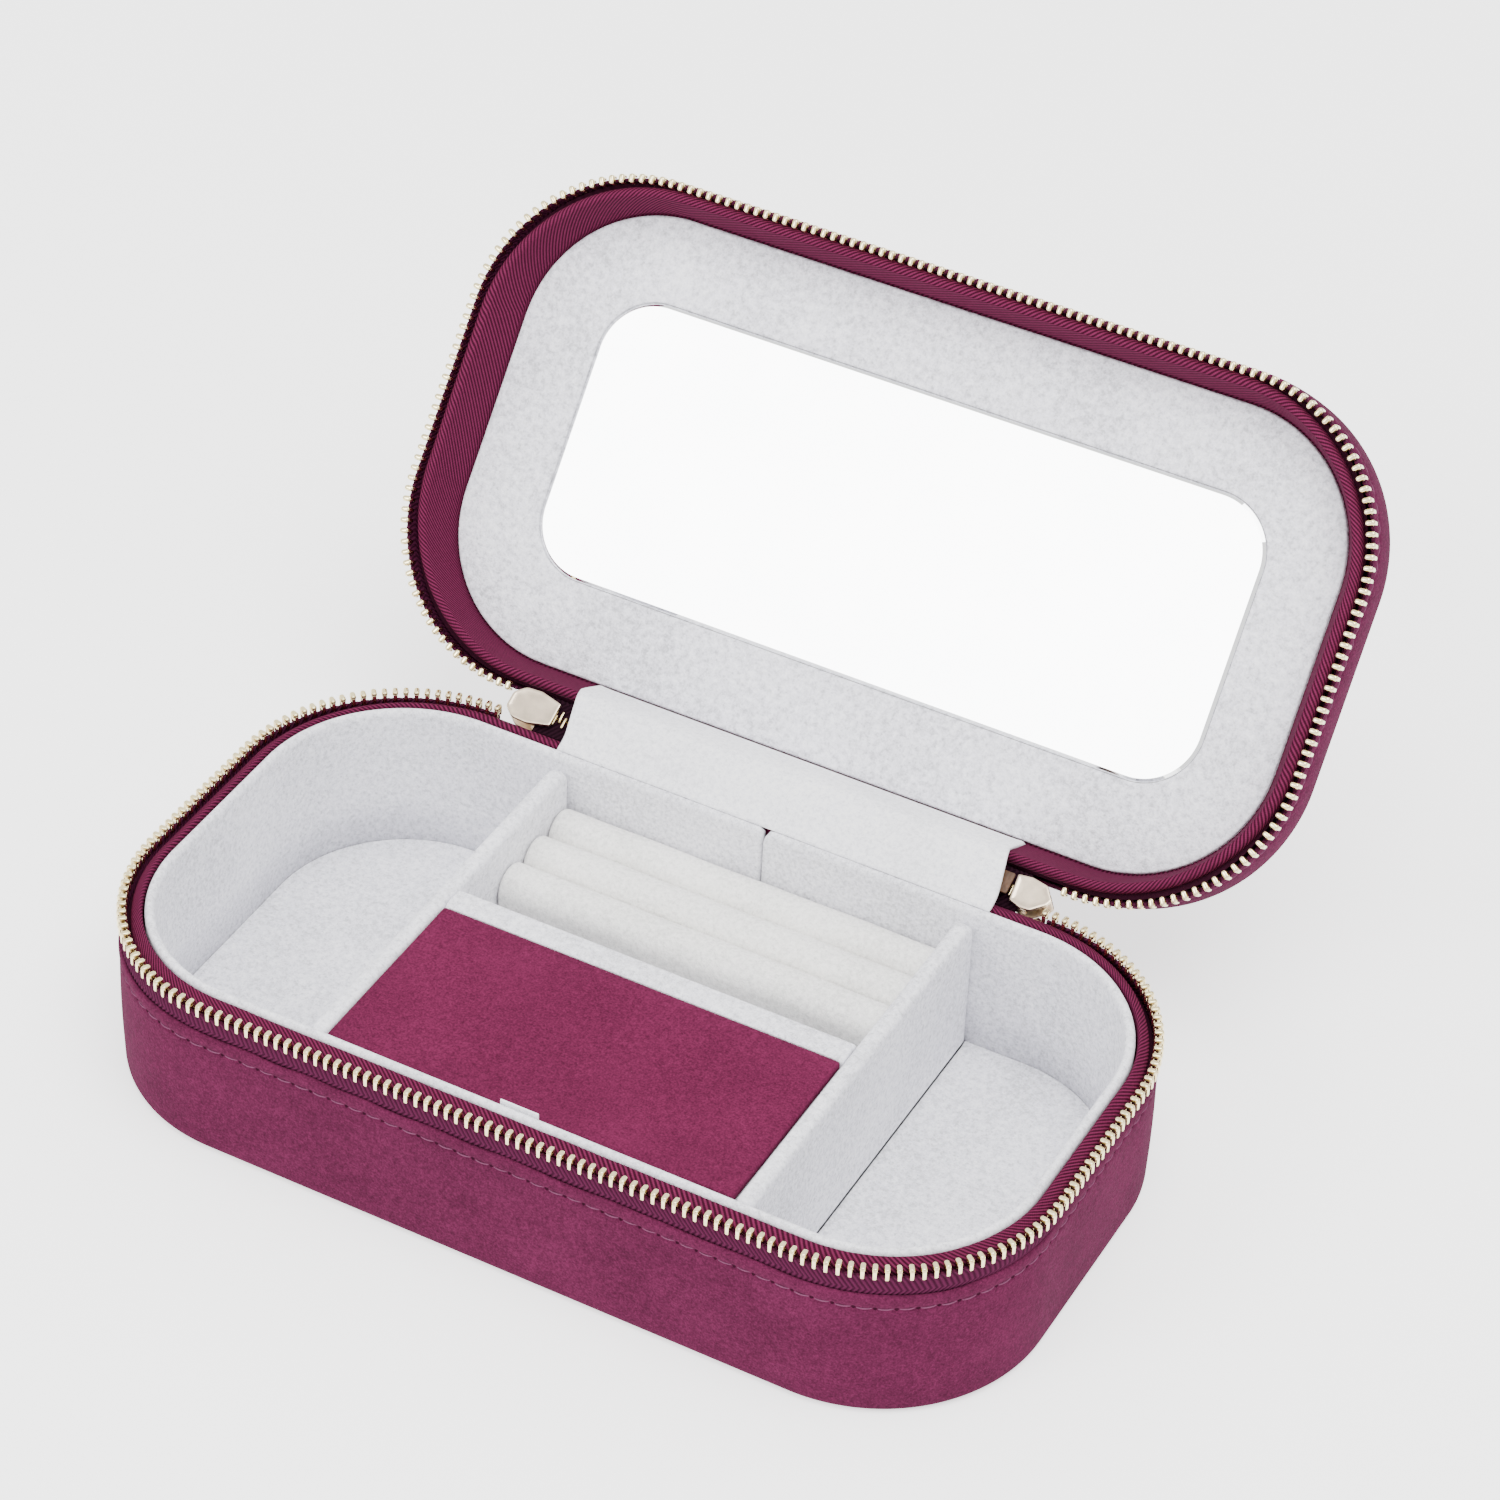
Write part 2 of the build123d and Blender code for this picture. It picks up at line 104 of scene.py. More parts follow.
# ---- materials
class Nodes:
    def __init__(self, name):
        self.mat = bpy.data.materials.new(name)
        self.mat.use_nodes = True
        self.tree = self.mat.node_tree
        self.bsdf = self.tree.nodes["Principled BSDF"]
        self.coord = self.tree.nodes.new("ShaderNodeTexCoord").outputs["Object"]

    def put(self, socket, value):
        """Set an input to a value, or link another node's output to it."""
        if isinstance(value, bpy.types.NodeSocket):
            self.tree.links.new(value, socket)
        else:
            socket.default_value = value

    def new(self, kind, **inputs):
        node = self.tree.nodes.new(kind)
        for key, value in inputs.items():
            self.put(node.inputs[key], value)
        return node

    def math(self, op, a, b=0.0, c=0.0, clamp=False):
        node = self.tree.nodes.new("ShaderNodeMath")
        node.operation = op
        node.use_clamp = clamp
        for i, v in enumerate((a, b, c)):
            self.put(node.inputs[i], v)
        return node.outputs[0]

    def add(self, a, b, **kw):
        return self.math("ADD", a, b, **kw)

    def mul(self, a, b, **kw):
        return self.math("MULTIPLY", a, b, **kw)

    def weigh(self, *terms):
        """Sum of (value, weight) terms."""
        total = self.mul(*terms[0])
        for term in terms[1:]:
            total = self.add(total, self.mul(*term))
        return total

    def noise(self, size_mm, detail=2.0, rough=0.5, stretch=None):
        source = self.coord
        if stretch:
            m = self.new("ShaderNodeMapping", Vector=source, Scale=stretch)
            source = m.outputs[0]
        n = self.new("ShaderNodeTexNoise", Vector=source, Scale=1000.0 / size_mm, Detail=detail, Roughness=rough)
        return n.outputs["Fac"]

    def sewn(self):
        """The sewing map: metres along the cloth and across it."""
        node = self.tree.nodes.new("ShaderNodeUVMap")
        node.uv_map = "sew"
        return self.new("ShaderNodeSeparateXYZ", Vector=node.outputs[0]).outputs

    def bands(self, period_mm, angle_deg, sharp=1.0):
        """Straight bands across the sewing map, 0 to 1."""
        a = math.radians(angle_deg)
        sew = self.sewn()
        k = 2 * math.pi / (period_mm * MM)
        x = self.mul(sew[0], k * math.cos(a))
        y = self.mul(sew[1], k * math.sin(a))
        s = self.math("SINE", self.add(x, y))
        return self.math("MULTIPLY_ADD", s, 0.5 * sharp, 0.5, clamp=True)

    def ramp(self, fac, stops):
        node = self.new("ShaderNodeValToRGB", Fac=fac)
        ramp = node.color_ramp
        while len(ramp.elements) < len(stops):
            ramp.elements.new(0.5)
        for e, (at, colour) in zip(ramp.elements, stops):
            e.position = at
            e.color = (*colour, 1)
        return node.outputs[0]

    def mix(self, fac, a, b):
        node = self.tree.nodes.new("ShaderNodeMix")
        node.data_type = "RGBA"
        for i, v in ((0, fac), (6, a), (7, b)):
            self.put(node.inputs[i], (*v, 1) if isinstance(v, tuple) else v)
        return node.outputs[2]

    def bump(self, height, depth_mm, strength):
        return self.new("ShaderNodeBump", Height=height, Distance=depth_mm * MM, Strength=strength).outputs[0]

    def finish(self, colour, rough, normal=None, sheen=0.0, sheen_tint=(1, 1, 1), sheen_rough=0.5,
               metallic=0.0, spec=0.5):
        b = self.bsdf.inputs
        self.put(b["Base Color"], colour)
        self.put(b["Roughness"], rough)
        if normal:
            self.put(b["Normal"], normal)
        b["Sheen Weight"].default_value = sheen
        b["Sheen Tint"].default_value = (*sheen_tint, 1)
        b["Sheen Roughness"].default_value = sheen_rough
        b["Metallic"].default_value = metallic
        b["Specular IOR Level"].default_value = spec
        return self.mat


def tone(colour, k):
    return tuple(min(1.0, c * k) for c in colour)


WINE = (0.095, 0.0115, 0.038)
# The next colour is a darker copy of WINE for the shell's sides and end panels: painted shade for faces that get less
# light, with a slightly more purple hue.
WINE_SHADED = (0.072, 0.0098, 0.0325)


def suede(name, base=WINE, holes=None):
    """Microsuede: short nap, brushed patches; holes = (v of the stitch line, pitch) paints shade into the needle
    holes.
    """
    n = Nodes(name)
    fine = n.noise(0.42, 3, 0.7)
    nap = n.noise(1.4, 3, 0.6)
    brushed = n.noise(18, 3, 0.55, stretch=(1, 1, 1.6))
    fac = n.weigh((fine, 0.70), (nap, 0.25), (brushed, 0.20))
    colour = n.ramp(fac, [(0.42, tone(base, 0.60)), (0.57, base), (0.74, tone(base, 1.55))])
    height = n.add(n.mul(fine, 0.8), nap)
    normal = n.bump(height, 0.25, 0.6)
    if holes:
        sew = n.sewn()
        du = n.math("PINGPONG", sew[0], holes[1] * MM / 2)
        dv = n.math("SUBTRACT", sew[1], holes[0] * MM)
        r2 = n.add(n.mul(du, du), n.mul(dv, dv))
        hole = n.math("LESS_THAN", n.math("SQRT", r2), 0.34 * MM)
        # Painted shade: each needle hole is darkened to a fraction of the base colour.
        colour = n.mix(n.mul(hole, 0.75), colour, tone(base, 0.15))
    rough = n.math("MULTIPLY_ADD", nap, 0.15, 0.82)
    return n.finish(colour, rough, normal, sheen=0.022, sheen_tint=(1.0, 0.40, 0.70), sheen_rough=0.4, spec=0.03)


def twill(name, base, period, angle, depth):
    """Diagonal weave along the sewing map, with yarn-by-yarn variation."""
    n = Nodes(name)
    rib = n.bands(period, angle, sharp=1.4)
    yarn = n.bands(period * 0.62, angle + 90, sharp=0.9)
    grain = n.noise(0.5, 2)
    big = n.noise(9, 2)
    fac = n.weigh((rib, 0.62), (yarn, 0.12), (grain, 0.26))
    colour = n.ramp(fac, [(0.15, tone(base, 0.35)), (0.5, base), (0.85, tone(base, 2.1))])
    colour = n.mix(n.mul(big, 0.3), colour, tone(base, 0.65))
    normal = n.bump(fac, depth, 0.8)
    return n.finish(colour, 0.85, normal, spec=0.03)


# Tape ribs: slope along and across the tape, spacing, and the tape line where they turn.
RIB_ALONG, RIB_ACROSS, RIB_PITCH, RIB_TURN = 0.80, 0.62, 0.80, 3.5


def ribbed_tape(name, base):
    """Zipper tape: a herringbone of ribs that matches the mesh's own ridges, with painted shade in the valleys,
    painted highlight on the ridges and painted shadow towards the fold.
    """
    n = Nodes(name)
    sew = n.sewn()
    across = n.math("ABSOLUTE", n.math("SUBTRACT", sew[1], RIB_TURN * MM))
    k = 2 * math.pi / (RIB_PITCH * MM)
    slant = n.mul(across, k * RIB_ACROSS)
    phase = n.add(n.mul(sew[0], k * RIB_ALONG), slant)
    rib = n.math("MULTIPLY_ADD", n.math("SINE", phase), 0.5, 0.5)
    yarn = n.bands(0.36, 20, sharp=0.8)
    fac = n.weigh((rib, 0.7), (yarn, 0.12), (n.noise(0.5, 2), 0.3))
    # Painted shade and highlight: the ramp darkens the rib valleys and lightens the ridges that the mesh also carries.
    colour = n.ramp(fac, [(0.2, tone(base, 0.55)), (0.55, base), (0.9, tone(base, 1.35))])
    # Painted shadow: the tape darkens below 3.9 mm, where it goes down into the shell's fold.
    fold = n.mul(n.math("SUBTRACT", sew[1], 3.9 * MM), 1.0 / (0.9 * MM), clamp=True)
    colour = n.mix(n.mul(fold, 0.7), colour, tone(base, 0.25))
    return n.finish(colour, 0.85, n.bump(fac, 0.10, 0.7), spec=0.03)


def velvet(name, base, speck, contrast, depth):
    """Short white pile: soft specks where the nap leans."""
    n = Nodes(name)
    pile = n.noise(speck, 3, 0.65)
    fine = n.noise(speck * 0.35, 2, 0.6)
    drift = n.noise(22, 2)
    fac = n.weigh((pile, 0.6), (fine, 0.3), (drift, 0.18))
    lo = tone(base, 1 - 1.6 * contrast)
    colour = n.ramp(fac, [(0.40, lo), (0.55, tone(base, 1 - 0.25 * contrast)), (0.68, tone(base, 1 + 0.6 * contrast))])
    normal = n.bump(n.add(pile, n.mul(fine, 0.5)), depth, 0.6)
    return n.finish(colour, 0.9, normal, sheen=0.12, sheen_tint=(1, 1, 1), sheen_rough=0.4, spec=0.1)


def metal(name, base, rough):
    n = Nodes(name)
    tone_map = n.noise(3.0, 4, 0.6)
    brush = n.noise(0.6, 2, 0.5, stretch=(0.25, 1, 1))
    colour = n.ramp(tone_map, [(0.35, tone(base, 0.86)), (0.65, tone(base, 1.06))])
    r = n.math("MULTIPLY_ADD", tone_map, 0.16, rough)
    return n.finish(colour, r, n.bump(brush, 0.02, 0.5), metallic=1.0)


def tooth_metal(name, base, shade):
    """Pale gold with painted shade towards each tooth's flanks and root, and random tone; map = (across the tooth,
    depth).
    """
    n = Nodes(name)
    sew = n.sewn()
    # Painted shade: towards the flanks and the root the colour goes to the dark shade colour and the roughness rises;
    # the noise adds random tone.
    flank = n.mul(sew[0], 1.0 / (0.62 * MM))
    root = n.mul(n.math("SUBTRACT", sew[1], 1.2 * MM), 1.0 / (1.6 * MM), clamp=True)
    shade_and_tone = n.add(n.math("POWER", flank, 4.5, clamp=True), n.mul(root, 0.35), clamp=True)
    shade_and_tone = n.add(shade_and_tone, n.mul(n.math("SUBTRACT", n.noise(0.9, 3), 0.5), 0.5), clamp=True)
    r = n.math("MULTIPLY_ADD", shade_and_tone, 0.20, 0.14)
    return n.finish(n.mix(shade_and_tone, base, shade), r, n.bump(n.noise(0.5, 2), 0.015, 0.4), metallic=1.0)


def board(name):
    n = Nodes(name)
    fibre = n.noise(1.2, 4, 0.7, stretch=(0.3, 1, 1))
    colour = n.ramp(fibre, [(0.3, (0.20, 0.14, 0.09)), (0.7, (0.34, 0.26, 0.18))])
    return n.finish(colour, 0.85, n.bump(fibre, 0.1, 0.5))


def leather(name, base):
    n = Nodes(name)
    cells = n.new("ShaderNodeTexVoronoi", Vector=n.coord, Scale=1500.0).outputs["Distance"]
    tint = n.noise(1.5, 3)
    colour = n.ramp(tint, [(0.3, tone(base, 0.7)), (0.7, tone(base, 1.35))])
    return n.finish(colour, 0.55, n.bump(cells, 0.12, 0.6))


def glass_mirror(name):
    n = Nodes(name)
    haze = n.noise(14, 3)
    colour = n.ramp(haze, [(0.3, (0.93, 0.94, 0.95)), (0.7, (0.97, 0.975, 0.98))])
    r = n.math("MULTIPLY_ADD", haze, 0.01, 0.004)
    return n.finish(colour, r, metallic=1.0)


PITCH = 3.6            # of the stitches
STITCH_DROP = 3.0      # of their line below the fold
CLOTH = 0.60           # depth of the folded edge, face to back
m_suede = suede("suede")
# Suede in the darker copy of the wine: painted shade.
m_suede_shaded = suede("shaded_suede", WINE_SHADED)
m_twill = twill("collar_twill", (0.072, 0.0088, 0.029), 0.66, 48, 0.10)
m_tape = ribbed_tape("zipper_tape", (0.056, 0.0085, 0.028))
# Near-black copy of the tape for its ends behind the sliders: painted shade.
m_tape_shaded = ribbed_tape("zipper_tape_shaded", (0.014, 0.0040, 0.0085))
m_velvet = velvet("insert_velvet", (0.85, 0.847, 0.90), 0.85, 0.24, 0.30)
m_rim_velvet = velvet("strip_velvet", (0.925, 0.925, 0.965), 0.85, 0.16, 0.26)
m_panel = velvet("panel_velvet", (0.825, 0.82, 0.885), 1.2, 0.26, 0.45)
m_roll = velvet("roll_velvet", (0.90, 0.89, 0.86), 0.8, 0.17, 0.26)
m_gold = tooth_metal("pale_gold", (1.0, 0.87, 0.50), (0.22, 0.12, 0.04))
m_slider = metal("champagne_gold", (0.77, 0.64, 0.49), 0.24)
m_board = board("fibreboard")
m_leather = leather("brown_leather", (0.085, 0.036, 0.013))
m_mirror = glass_mirror("mirror_silver")
m_thread = twill("thread", (0.145, 0.046, 0.090), 0.25, 60, 0.05)


# ---- mesh helpers
def show(name, data):
    obj = bpy.data.objects.new(name, data)
    bpy.context.scene.collection.objects.link(obj)
    return obj


def make(name, verts, faces, material, body=None, slot=None, replaces=(), uvs=None, smooth=True):
    mesh = bpy.data.meshes.new(name)
    mesh.from_pydata((np.asarray(verts) * MM).tolist(), [], faces)
    if uvs is not None:
        layer = mesh.uv_layers.new(name="sew")
        layer.data.foreach_set("uv", (np.asarray(uvs, float) * MM).ravel())
    bm = bmesh.new()
    bm.from_mesh(mesh)
    bmesh.ops.recalc_face_normals(bm, faces=bm.faces)
    bm.to_mesh(mesh)
    bm.free()
    if smooth:
        mesh.polygons.foreach_set("use_smooth", [True] * len(mesh.polygons))
    mesh.materials.append(material)
    obj = show(name, mesh)
    if body:
        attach(obj, body)
    if replaces:
        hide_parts(*replaces)
    return obj


def soften(obj, angle=40):
    """Smooth shading that keeps edges sharper than the angle."""
    obj.data.set_sharp_from_angle(angle=math.radians(angle))


def rib_wave(u, across):
    """The ribs of the zipper tape as a ripple from -1 to 1."""
    return np.sin(2 * math.pi * (u * RIB_ALONG + abs(across - RIB_TURN) * RIB_ACROSS) / RIB_PITCH)


def ring(place, q, c):
    """The outline q (k x 2) at c across, placed in the frame."""
    return place(q[:, 0], q[:, 1], c)


def lengths(q):
    """Length along a closed outline at each of its points, and its total."""
    return np.r_[0, np.cumsum(norm(np.diff(np.r_[q, q[:1]], axis=0), axis=1))]


def round_rect(hx, hy, r, step=0.7, start=0.0, gap=0.0, cx=0.0, cy=0.0, counts=None):
    """Stations of a rounded rectangle from the back, going left, front, right.

    Gives the points, their outward normals and the lengths along the line.
    """
    ax, ay = hx - r, hy - r
    parts = [
        ("line", (start - gap / 2, hy), (-ax, hy)), ("arc", (-ax, ay), 90), ("line", (-hx, ay), (-hx, -ay)),
        ("arc", (-ax, -ay), 180), ("line", (-ax, -hy), (ax, -hy)), ("arc", (ax, -ay), 270),
        ("line", (hx, -ay), (hx, ay)), ("arc", (ax, ay), 0), ("line", (ax, hy), (start + gap / 2, hy)),
    ]
    pts, nrm = [], []
    for i, part in enumerate(parts):
        if part[0] == "line":
            a, b = np.array(part[1], float), np.array(part[2], float)
            length = norm(b - a)
            k = counts[i] if counts else max(2, int(round(length / step)))
            t = np.arange(k)[:, None] / k
            pts.append(a + (b - a) * t)
            d = (b - a) / length
            nrm.append(np.repeat([[d[1], -d[0]]], k, 0))
        else:
            k = counts[i] if counts else max(6, int(round(r * math.pi / 2 / step)))
            ang = np.radians(part[2] + 90 * np.arange(k) / k)
            d = np.c_[np.cos(ang), np.sin(ang)]
            pts.append(np.array(part[1]) + r * d)
            nrm.append(d)
    if gap:
        pts.append(np.array([[start + gap / 2, hy]]))
        nrm.append(np.array([[0.0, 1.0]]))
    p = np.concatenate(pts)
    return p + [cx, cy], np.concatenate(nrm), lengths(p)


def ring_counts(hx, hy, r, step):
    """Stations in each of the nine stretches of a rounded rectangle, so that two of them can be matched."""
    ax, ay = hx - r, hy - r
    arc = max(6, int(round(r * math.pi / 2 / step)))
    back, side, front = (max(2, int(round(v / step))) for v in (ax, 2 * ay, 2 * ax))
    return [back, arc, side, arc, front, arc, side, arc, back]


def waves(s, total, amp, seed, low=3, high=16):
    """A smooth closed ripple along a loop."""
    r = np.random.RandomState(seed)
    out = np.zeros_like(s)
    for k in range(low, high):
        out += r.normal() / k ** 0.7 * np.sin(2 * math.pi * k * s / total + r.uniform(0, 6.28))
    return amp * out / max(1e-9, np.abs(out).max())


def loft(name, loops, u, material, wrap=False, closed=True, caps=False, v=None, **kw):
    """Skin through loops of stations: loops[k][i] is station i of loop k, u is the length along the stations."""
    loops = np.asarray(loops, float)
    m, n = loops.shape[:2]
    if v is None:
        mid = loops[:, : max(1, n // 7)].mean(1)
        v = np.r_[0, np.cumsum(norm(np.diff(np.concatenate([mid, mid[:1]]), axis=0), axis=1))]
    elif len(v) == m:
        v = np.r_[v, v[-1] + 1]
    faces, uvs = [], []
    for k in range(m if wrap else m - 1):
        k2 = (k + 1) % m
        for i in range(n if closed else n - 1):
            i2 = (i + 1) % n
            faces.append((k * n + i, k * n + i2, k2 * n + i2, k2 * n + i))
            uvs += [(u[i], v[k]), (u[i + 1], v[k]), (u[i + 1], v[k + 1]), (u[i], v[k + 1])]
    if caps and closed:
        for k in (0, m - 1):
            faces.append(tuple(k * n + i for i in range(n)))
            uvs += [(loops[k, i, 0], loops[k, i, 1]) for i in range(n)]
    if caps and not closed:
        for i in (0, n - 1):
            for k in range((m - 1) // 2):
                ring = sorted({k, k + 1, m - 2 - k, m - 1 - k})
                faces.append(tuple(r * n + i for r in ring))
                uvs += [(u[i], v[r]) for r in ring]
    return make(name, loops.reshape(-1, 3), faces, material, uvs=uvs, **kw)


def outline_normals(p):
    """Outward normals of a closed polygon, smoothed over neighbours."""
    d = np.roll(p, -1, 0) - np.roll(p, 1, 0)
    nrm = np.c_[d[:, 1], -d[:, 0]]
    nrm /= norm(nrm, axis=1)[:, None]
    area = 0.5 * np.sum(p[:, 0] * np.roll(p[:, 1], -1) - np.roll(p[:, 0], -1) * p[:, 1])
    return nrm if area > 0 else -nrm


def slab(name, path, lo, hi, edge, place, material, levels=2, edge_lo=None, wobble=None, **kw):
    """A plate whose outline is path (k x 2), from lo to hi across, with rounded rims."""
    path = np.asarray(path, float)
    nrm = outline_normals(path)
    edge_lo = edge if edge_lo is None else edge_lo
    prof = []
    for t in np.linspace(0, 1, 5):
        a = t * math.pi / 2
        prof.append((edge_lo * (1 - math.sin(a)), lo + edge_lo * (1 - math.cos(a))))
    for t in np.linspace(0, 1, levels + 1)[1:-1]:
        prof.append((0.0, lo + edge_lo + t * (hi - edge - lo - edge_lo)))
    for t in np.linspace(0, 1, 5):
        a = t * math.pi / 2
        prof.append((edge * (1 - math.cos(a)), hi - edge * (1 - math.sin(a))))
    u = lengths(path)
    loops = []
    for d, c in prof:
        q = path - nrm * d
        if wobble is not None:
            q = q + nrm * wobble(u[:-1], c)[:, None]
        loops.append(ring(place, q, c))
    return loft(name, loops, u, material, caps=True, **kw)


def half_angle(da, db):
    return math.acos(max(-1, min(1, float(da @ db)))) / 2


def rounded_polygon(corners, radii, step):
    """Closed path through corners, each rounded to its radius."""
    corners = np.asarray(corners, float)
    n = len(corners)
    out = []
    for i in range(n):
        p, a, b = corners[i], corners[i - 1], corners[(i + 1) % n]
        da, db = (a - p) / norm(a - p), (b - p) / norm(b - p)
        r = radii[i]
        half = half_angle(da, db)
        cut = r / math.tan(half)
        s, e = p + da * cut, p + db * cut
        centre = p + (da + db) / norm(da + db) * (r / math.sin(half))
        a0, a1 = math.atan2(*(s - centre)[::-1]), math.atan2(*(e - centre)[::-1])
        turn = (a1 - a0 + math.pi) % (2 * math.pi) - math.pi
        k = max(3, int(abs(turn) * r / min(step, max(0.12, r / 5))))
        for t in np.linspace(0, 1, k + 1):
            out.append(centre + r * np.array([math.cos(a0 + turn * t), math.sin(a0 + turn * t)]))
        after = corners[(i + 2) % n] - b
        e2 = b - db * (radii[(i + 1) % n] / math.tan(half_angle(-db, after / norm(after))))
        k = int(norm(e2 - e) / step)
        for t in np.linspace(0, 1, k + 2)[1:-1]:
            out.append(e + (e2 - e) * t)
    return np.array(out)


def soft_box(name, lo, hi, r, place, material, cell=1.4, warp=None, **kw):
    """A box with every edge rounded and an even grid on its faces, so it can be bent."""
    lo, hi = np.array(lo, float), np.array(hi, float)
    axes = []
    for a in range(3):
        inner = np.linspace(lo[a] + r, hi[a] - r, max(2, int((hi[a] - lo[a] - 2 * r) / cell) + 1))
        edge = r * (1 - np.cos(np.linspace(0, math.pi / 2, 5)))[:-1]
        axes.append(np.r_[lo[a] + edge, inner, (hi[a] - edge)[::-1]])
    verts, faces, uvs, index = [], [], [], {}

    def vert(i, j, k):
        key = (i, j, k)
        if key not in index:
            index[key] = len(verts)
            verts.append((axes[0][i], axes[1][j], axes[2][k]))
        return index[key]

    nx, ny, nz = (len(a) for a in axes)
    for fixed, (na, nb) in ((0, (ny, nz)), (1, (nx, nz)), (2, (nx, ny))):
        for end in (0, len(axes[fixed]) - 1):
            for a in range(na - 1):
                for b in range(nb - 1):
                    quad = []
                    for da, db in ((0, 0), (1, 0), (1, 1), (0, 1)):
                        ij = [a + da, b + db]
                        ij.insert(fixed, end)
                        quad.append(vert(*ij))
                    faces.append(tuple(quad))
                    uvs += [(verts[q][(fixed + 1) % 3], verts[q][(fixed + 2) % 3]) for q in quad]
    v = np.array(verts)
    core = np.clip(v, lo + r, hi - r)
    d = v - core
    length = norm(d, axis=1)[:, None]
    v = np.where(length > 1e-9, core + d / np.maximum(length, 1e-9) * r, v)
    if warp:
        v = warp(v)
    return make(name, place(v[:, 0], v[:, 1], v[:, 2]), faces, material, uvs=uvs, **kw)


def joined(name, pieces, material, **kw):
    """One mesh from many (verts, faces) or (verts, faces, map) pieces."""
    verts, faces, uvs, base = [], [], [], 0
    for v, f, *uv in pieces:
        verts.append(v)
        faces += [tuple(i + base for i in face) for face in f]
        if uv:
            uvs += [uv[0][i] for face in f for i in face]
        base += len(v)
    return make(name, np.concatenate(verts), faces, material, uvs=uvs or None, **kw)


def lump(size, r, cuts=(2, 2, 2), rings=3):
    """Rounded box centred at 0 as (verts, faces), with a few cells a side."""
    half = np.array(size, float) / 2
    axes = []
    for a in range(3):
        e = r * (1 - np.cos(np.linspace(0, math.pi / 2, rings)))
        flat = np.linspace(-half[a] + r, half[a] - r, cuts[a])
        axes.append(np.unique(np.round(np.r_[-half[a] + e, flat, half[a] - e], 6)))
    verts, faces, index = [], [], {}

    def vert(key):
        if key not in index:
            index[key] = len(verts)
            verts.append([axes[a][key[a]] for a in range(3)])
        return index[key]

    for fixed in range(3):
        o = [a for a in range(3) if a != fixed]
        for end in (0, len(axes[fixed]) - 1):
            for a in range(len(axes[o[0]]) - 1):
                for b in range(len(axes[o[1]]) - 1):
                    quad = []
                    for da, db in ((0, 0), (1, 0), (1, 1), (0, 1)):
                        key = [0, 0, 0]
                        key[fixed], key[o[0]], key[o[1]] = end, a + da, b + db
                        quad.append(vert(tuple(key)))
                    faces.append(tuple(quad))
    v = np.array(verts)
    core = np.clip(v, -half + r, half - r)
    d = v - core
    length = norm(d, axis=1)[:, None]
    return np.where(length > 1e-9, core + d / np.maximum(length, 1e-9) * r, v), faces


def along_line(where, p, nrm, s):
    """Point and outward normal of a closed line at a length along it."""
    columns = np.c_[np.r_[p, p[:1]], np.r_[nrm, nrm[:1]]].T
    return [np.interp(where, s, c) for c in columns]


# ---- outer skins
def skin(name, height, place, body, replaces):
    """Suede band of one shell: c runs from the outside face (0) to the rim; the edge is folded in at its top."""
    fold = height - FOLD_DEPTH
    line = fold - STITCH_DROP
    back = CLOTH + 0.02
    p, nrm, s = round_rect(HALF_X, HALF_Y, CORNER)
    total = s[-1]
    u = s[:-1]
    prof = [(2.6, 0.0), (2.2, 0.0), (1.8, 0.0)]
    for a in np.linspace(0, math.pi / 2, 7)[1:]:
        prof.append((1.8 * (1 - math.sin(a)), 1.8 * (1 - math.cos(a))))
    prof += [(0.0, c) for c in np.arange(2.6, line - 1.3, 0.9)]
    prof += [(0.0, line + dc) for dc in (-0.9, -0.5, -0.25, 0.0, 0.25, 0.5, 0.9, 1.3, 1.7)]
    prof += [(0.03, fold - 0.42), (0.14, fold - 0.16), (0.32, fold - 0.02), (0.52, fold - 0.06), (CLOTH, fold - 0.4)]
    prof += [(back, fold - 2.5), (back, 2.2), (0.85, 1.1), (1.8, back), (2.6, back)]
    edge_wave = waves(u, total, 0.26, 3, 16, 52)
    dent = waves(u, total, 0.10, 5, 4, 30)
    loops, v, along = [], [], 0.0
    last = None
    for d, c in prof:
        inward = np.full(len(u), d)
        up_to = np.full(len(u), c)
        outer = c > 1.8 and d < 0.55
        if outer:
            rise = min(1.0, max(0.0, (c - 1.8) / (line - 1.8)))
            inward -= 0.22 * math.sin(math.pi * min(1.0, rise)) + dent * math.sin(math.pi * rise)
            pull = math.exp(-(((c - line) / 0.42) ** 2))
            hole = 0.5 + 0.5 * np.cos(2 * math.pi * u / PITCH)
            inward += pull * (0.16 + 0.16 * hole ** 3)
            if c > line:
                inward -= 0.14 * math.sin(math.pi * min(1.0, (c - line) / STITCH_DROP))
            up_to = up_to + edge_wave * max(0.0, (c - line) / STITCH_DROP)
        q = p - nrm * inward[:, None]
        if last is not None:
            along += math.hypot(d - last[0], c - last[1])
        last = (d, c)
        v.append(along)
        loops.append(ring(place, q, up_to))
    v_line = next(vv for vv, (d, c) in zip(v, prof) if abs(c - line) < 1e-6 and d < 0.1)
    m = suede(name + "_suede", WINE_SHADED, holes=(v_line, PITCH))
    v = np.r_[v, v[-1] + 6]
    obj = loft(name, loops, s, m, wrap=True, v=v, body=body, slot="suede", replaces=replaces)
    threads = []
    tv, tf = STITCH
    for i in range(int(total / PITCH)):
        x, y, nx, ny = along_line((i + 0.5) * PITCH, p, nrm, s)
        j = rng.uniform(-0.08, 0.08)
        a = tv[:, 0]
        out = tv[:, 1] - 0.03 + rng.uniform(-0.05, 0.03) - 0.30 * (a / 1.4) ** 2
        threads.append((place(x - ny * a + nx * out, y + nx * a + ny * out, line + tv[:, 2] + j + a * 0.06), tf))
    joined(name + "_stitches", threads, m_thread, body=body, slot="suede")


STITCH = lump((2.7, 0.28, 0.30), 0.135, (6, 2, 2))


def shell_lid(x, y, c):
    return on_lid(x, y, LID_H - c)


skin("base_skin", RIM_Z, on_base, "base", ("base_side_cover",))
skin("lid_skin", LID_H, shell_lid, "lid", ("lid_side_cover",))


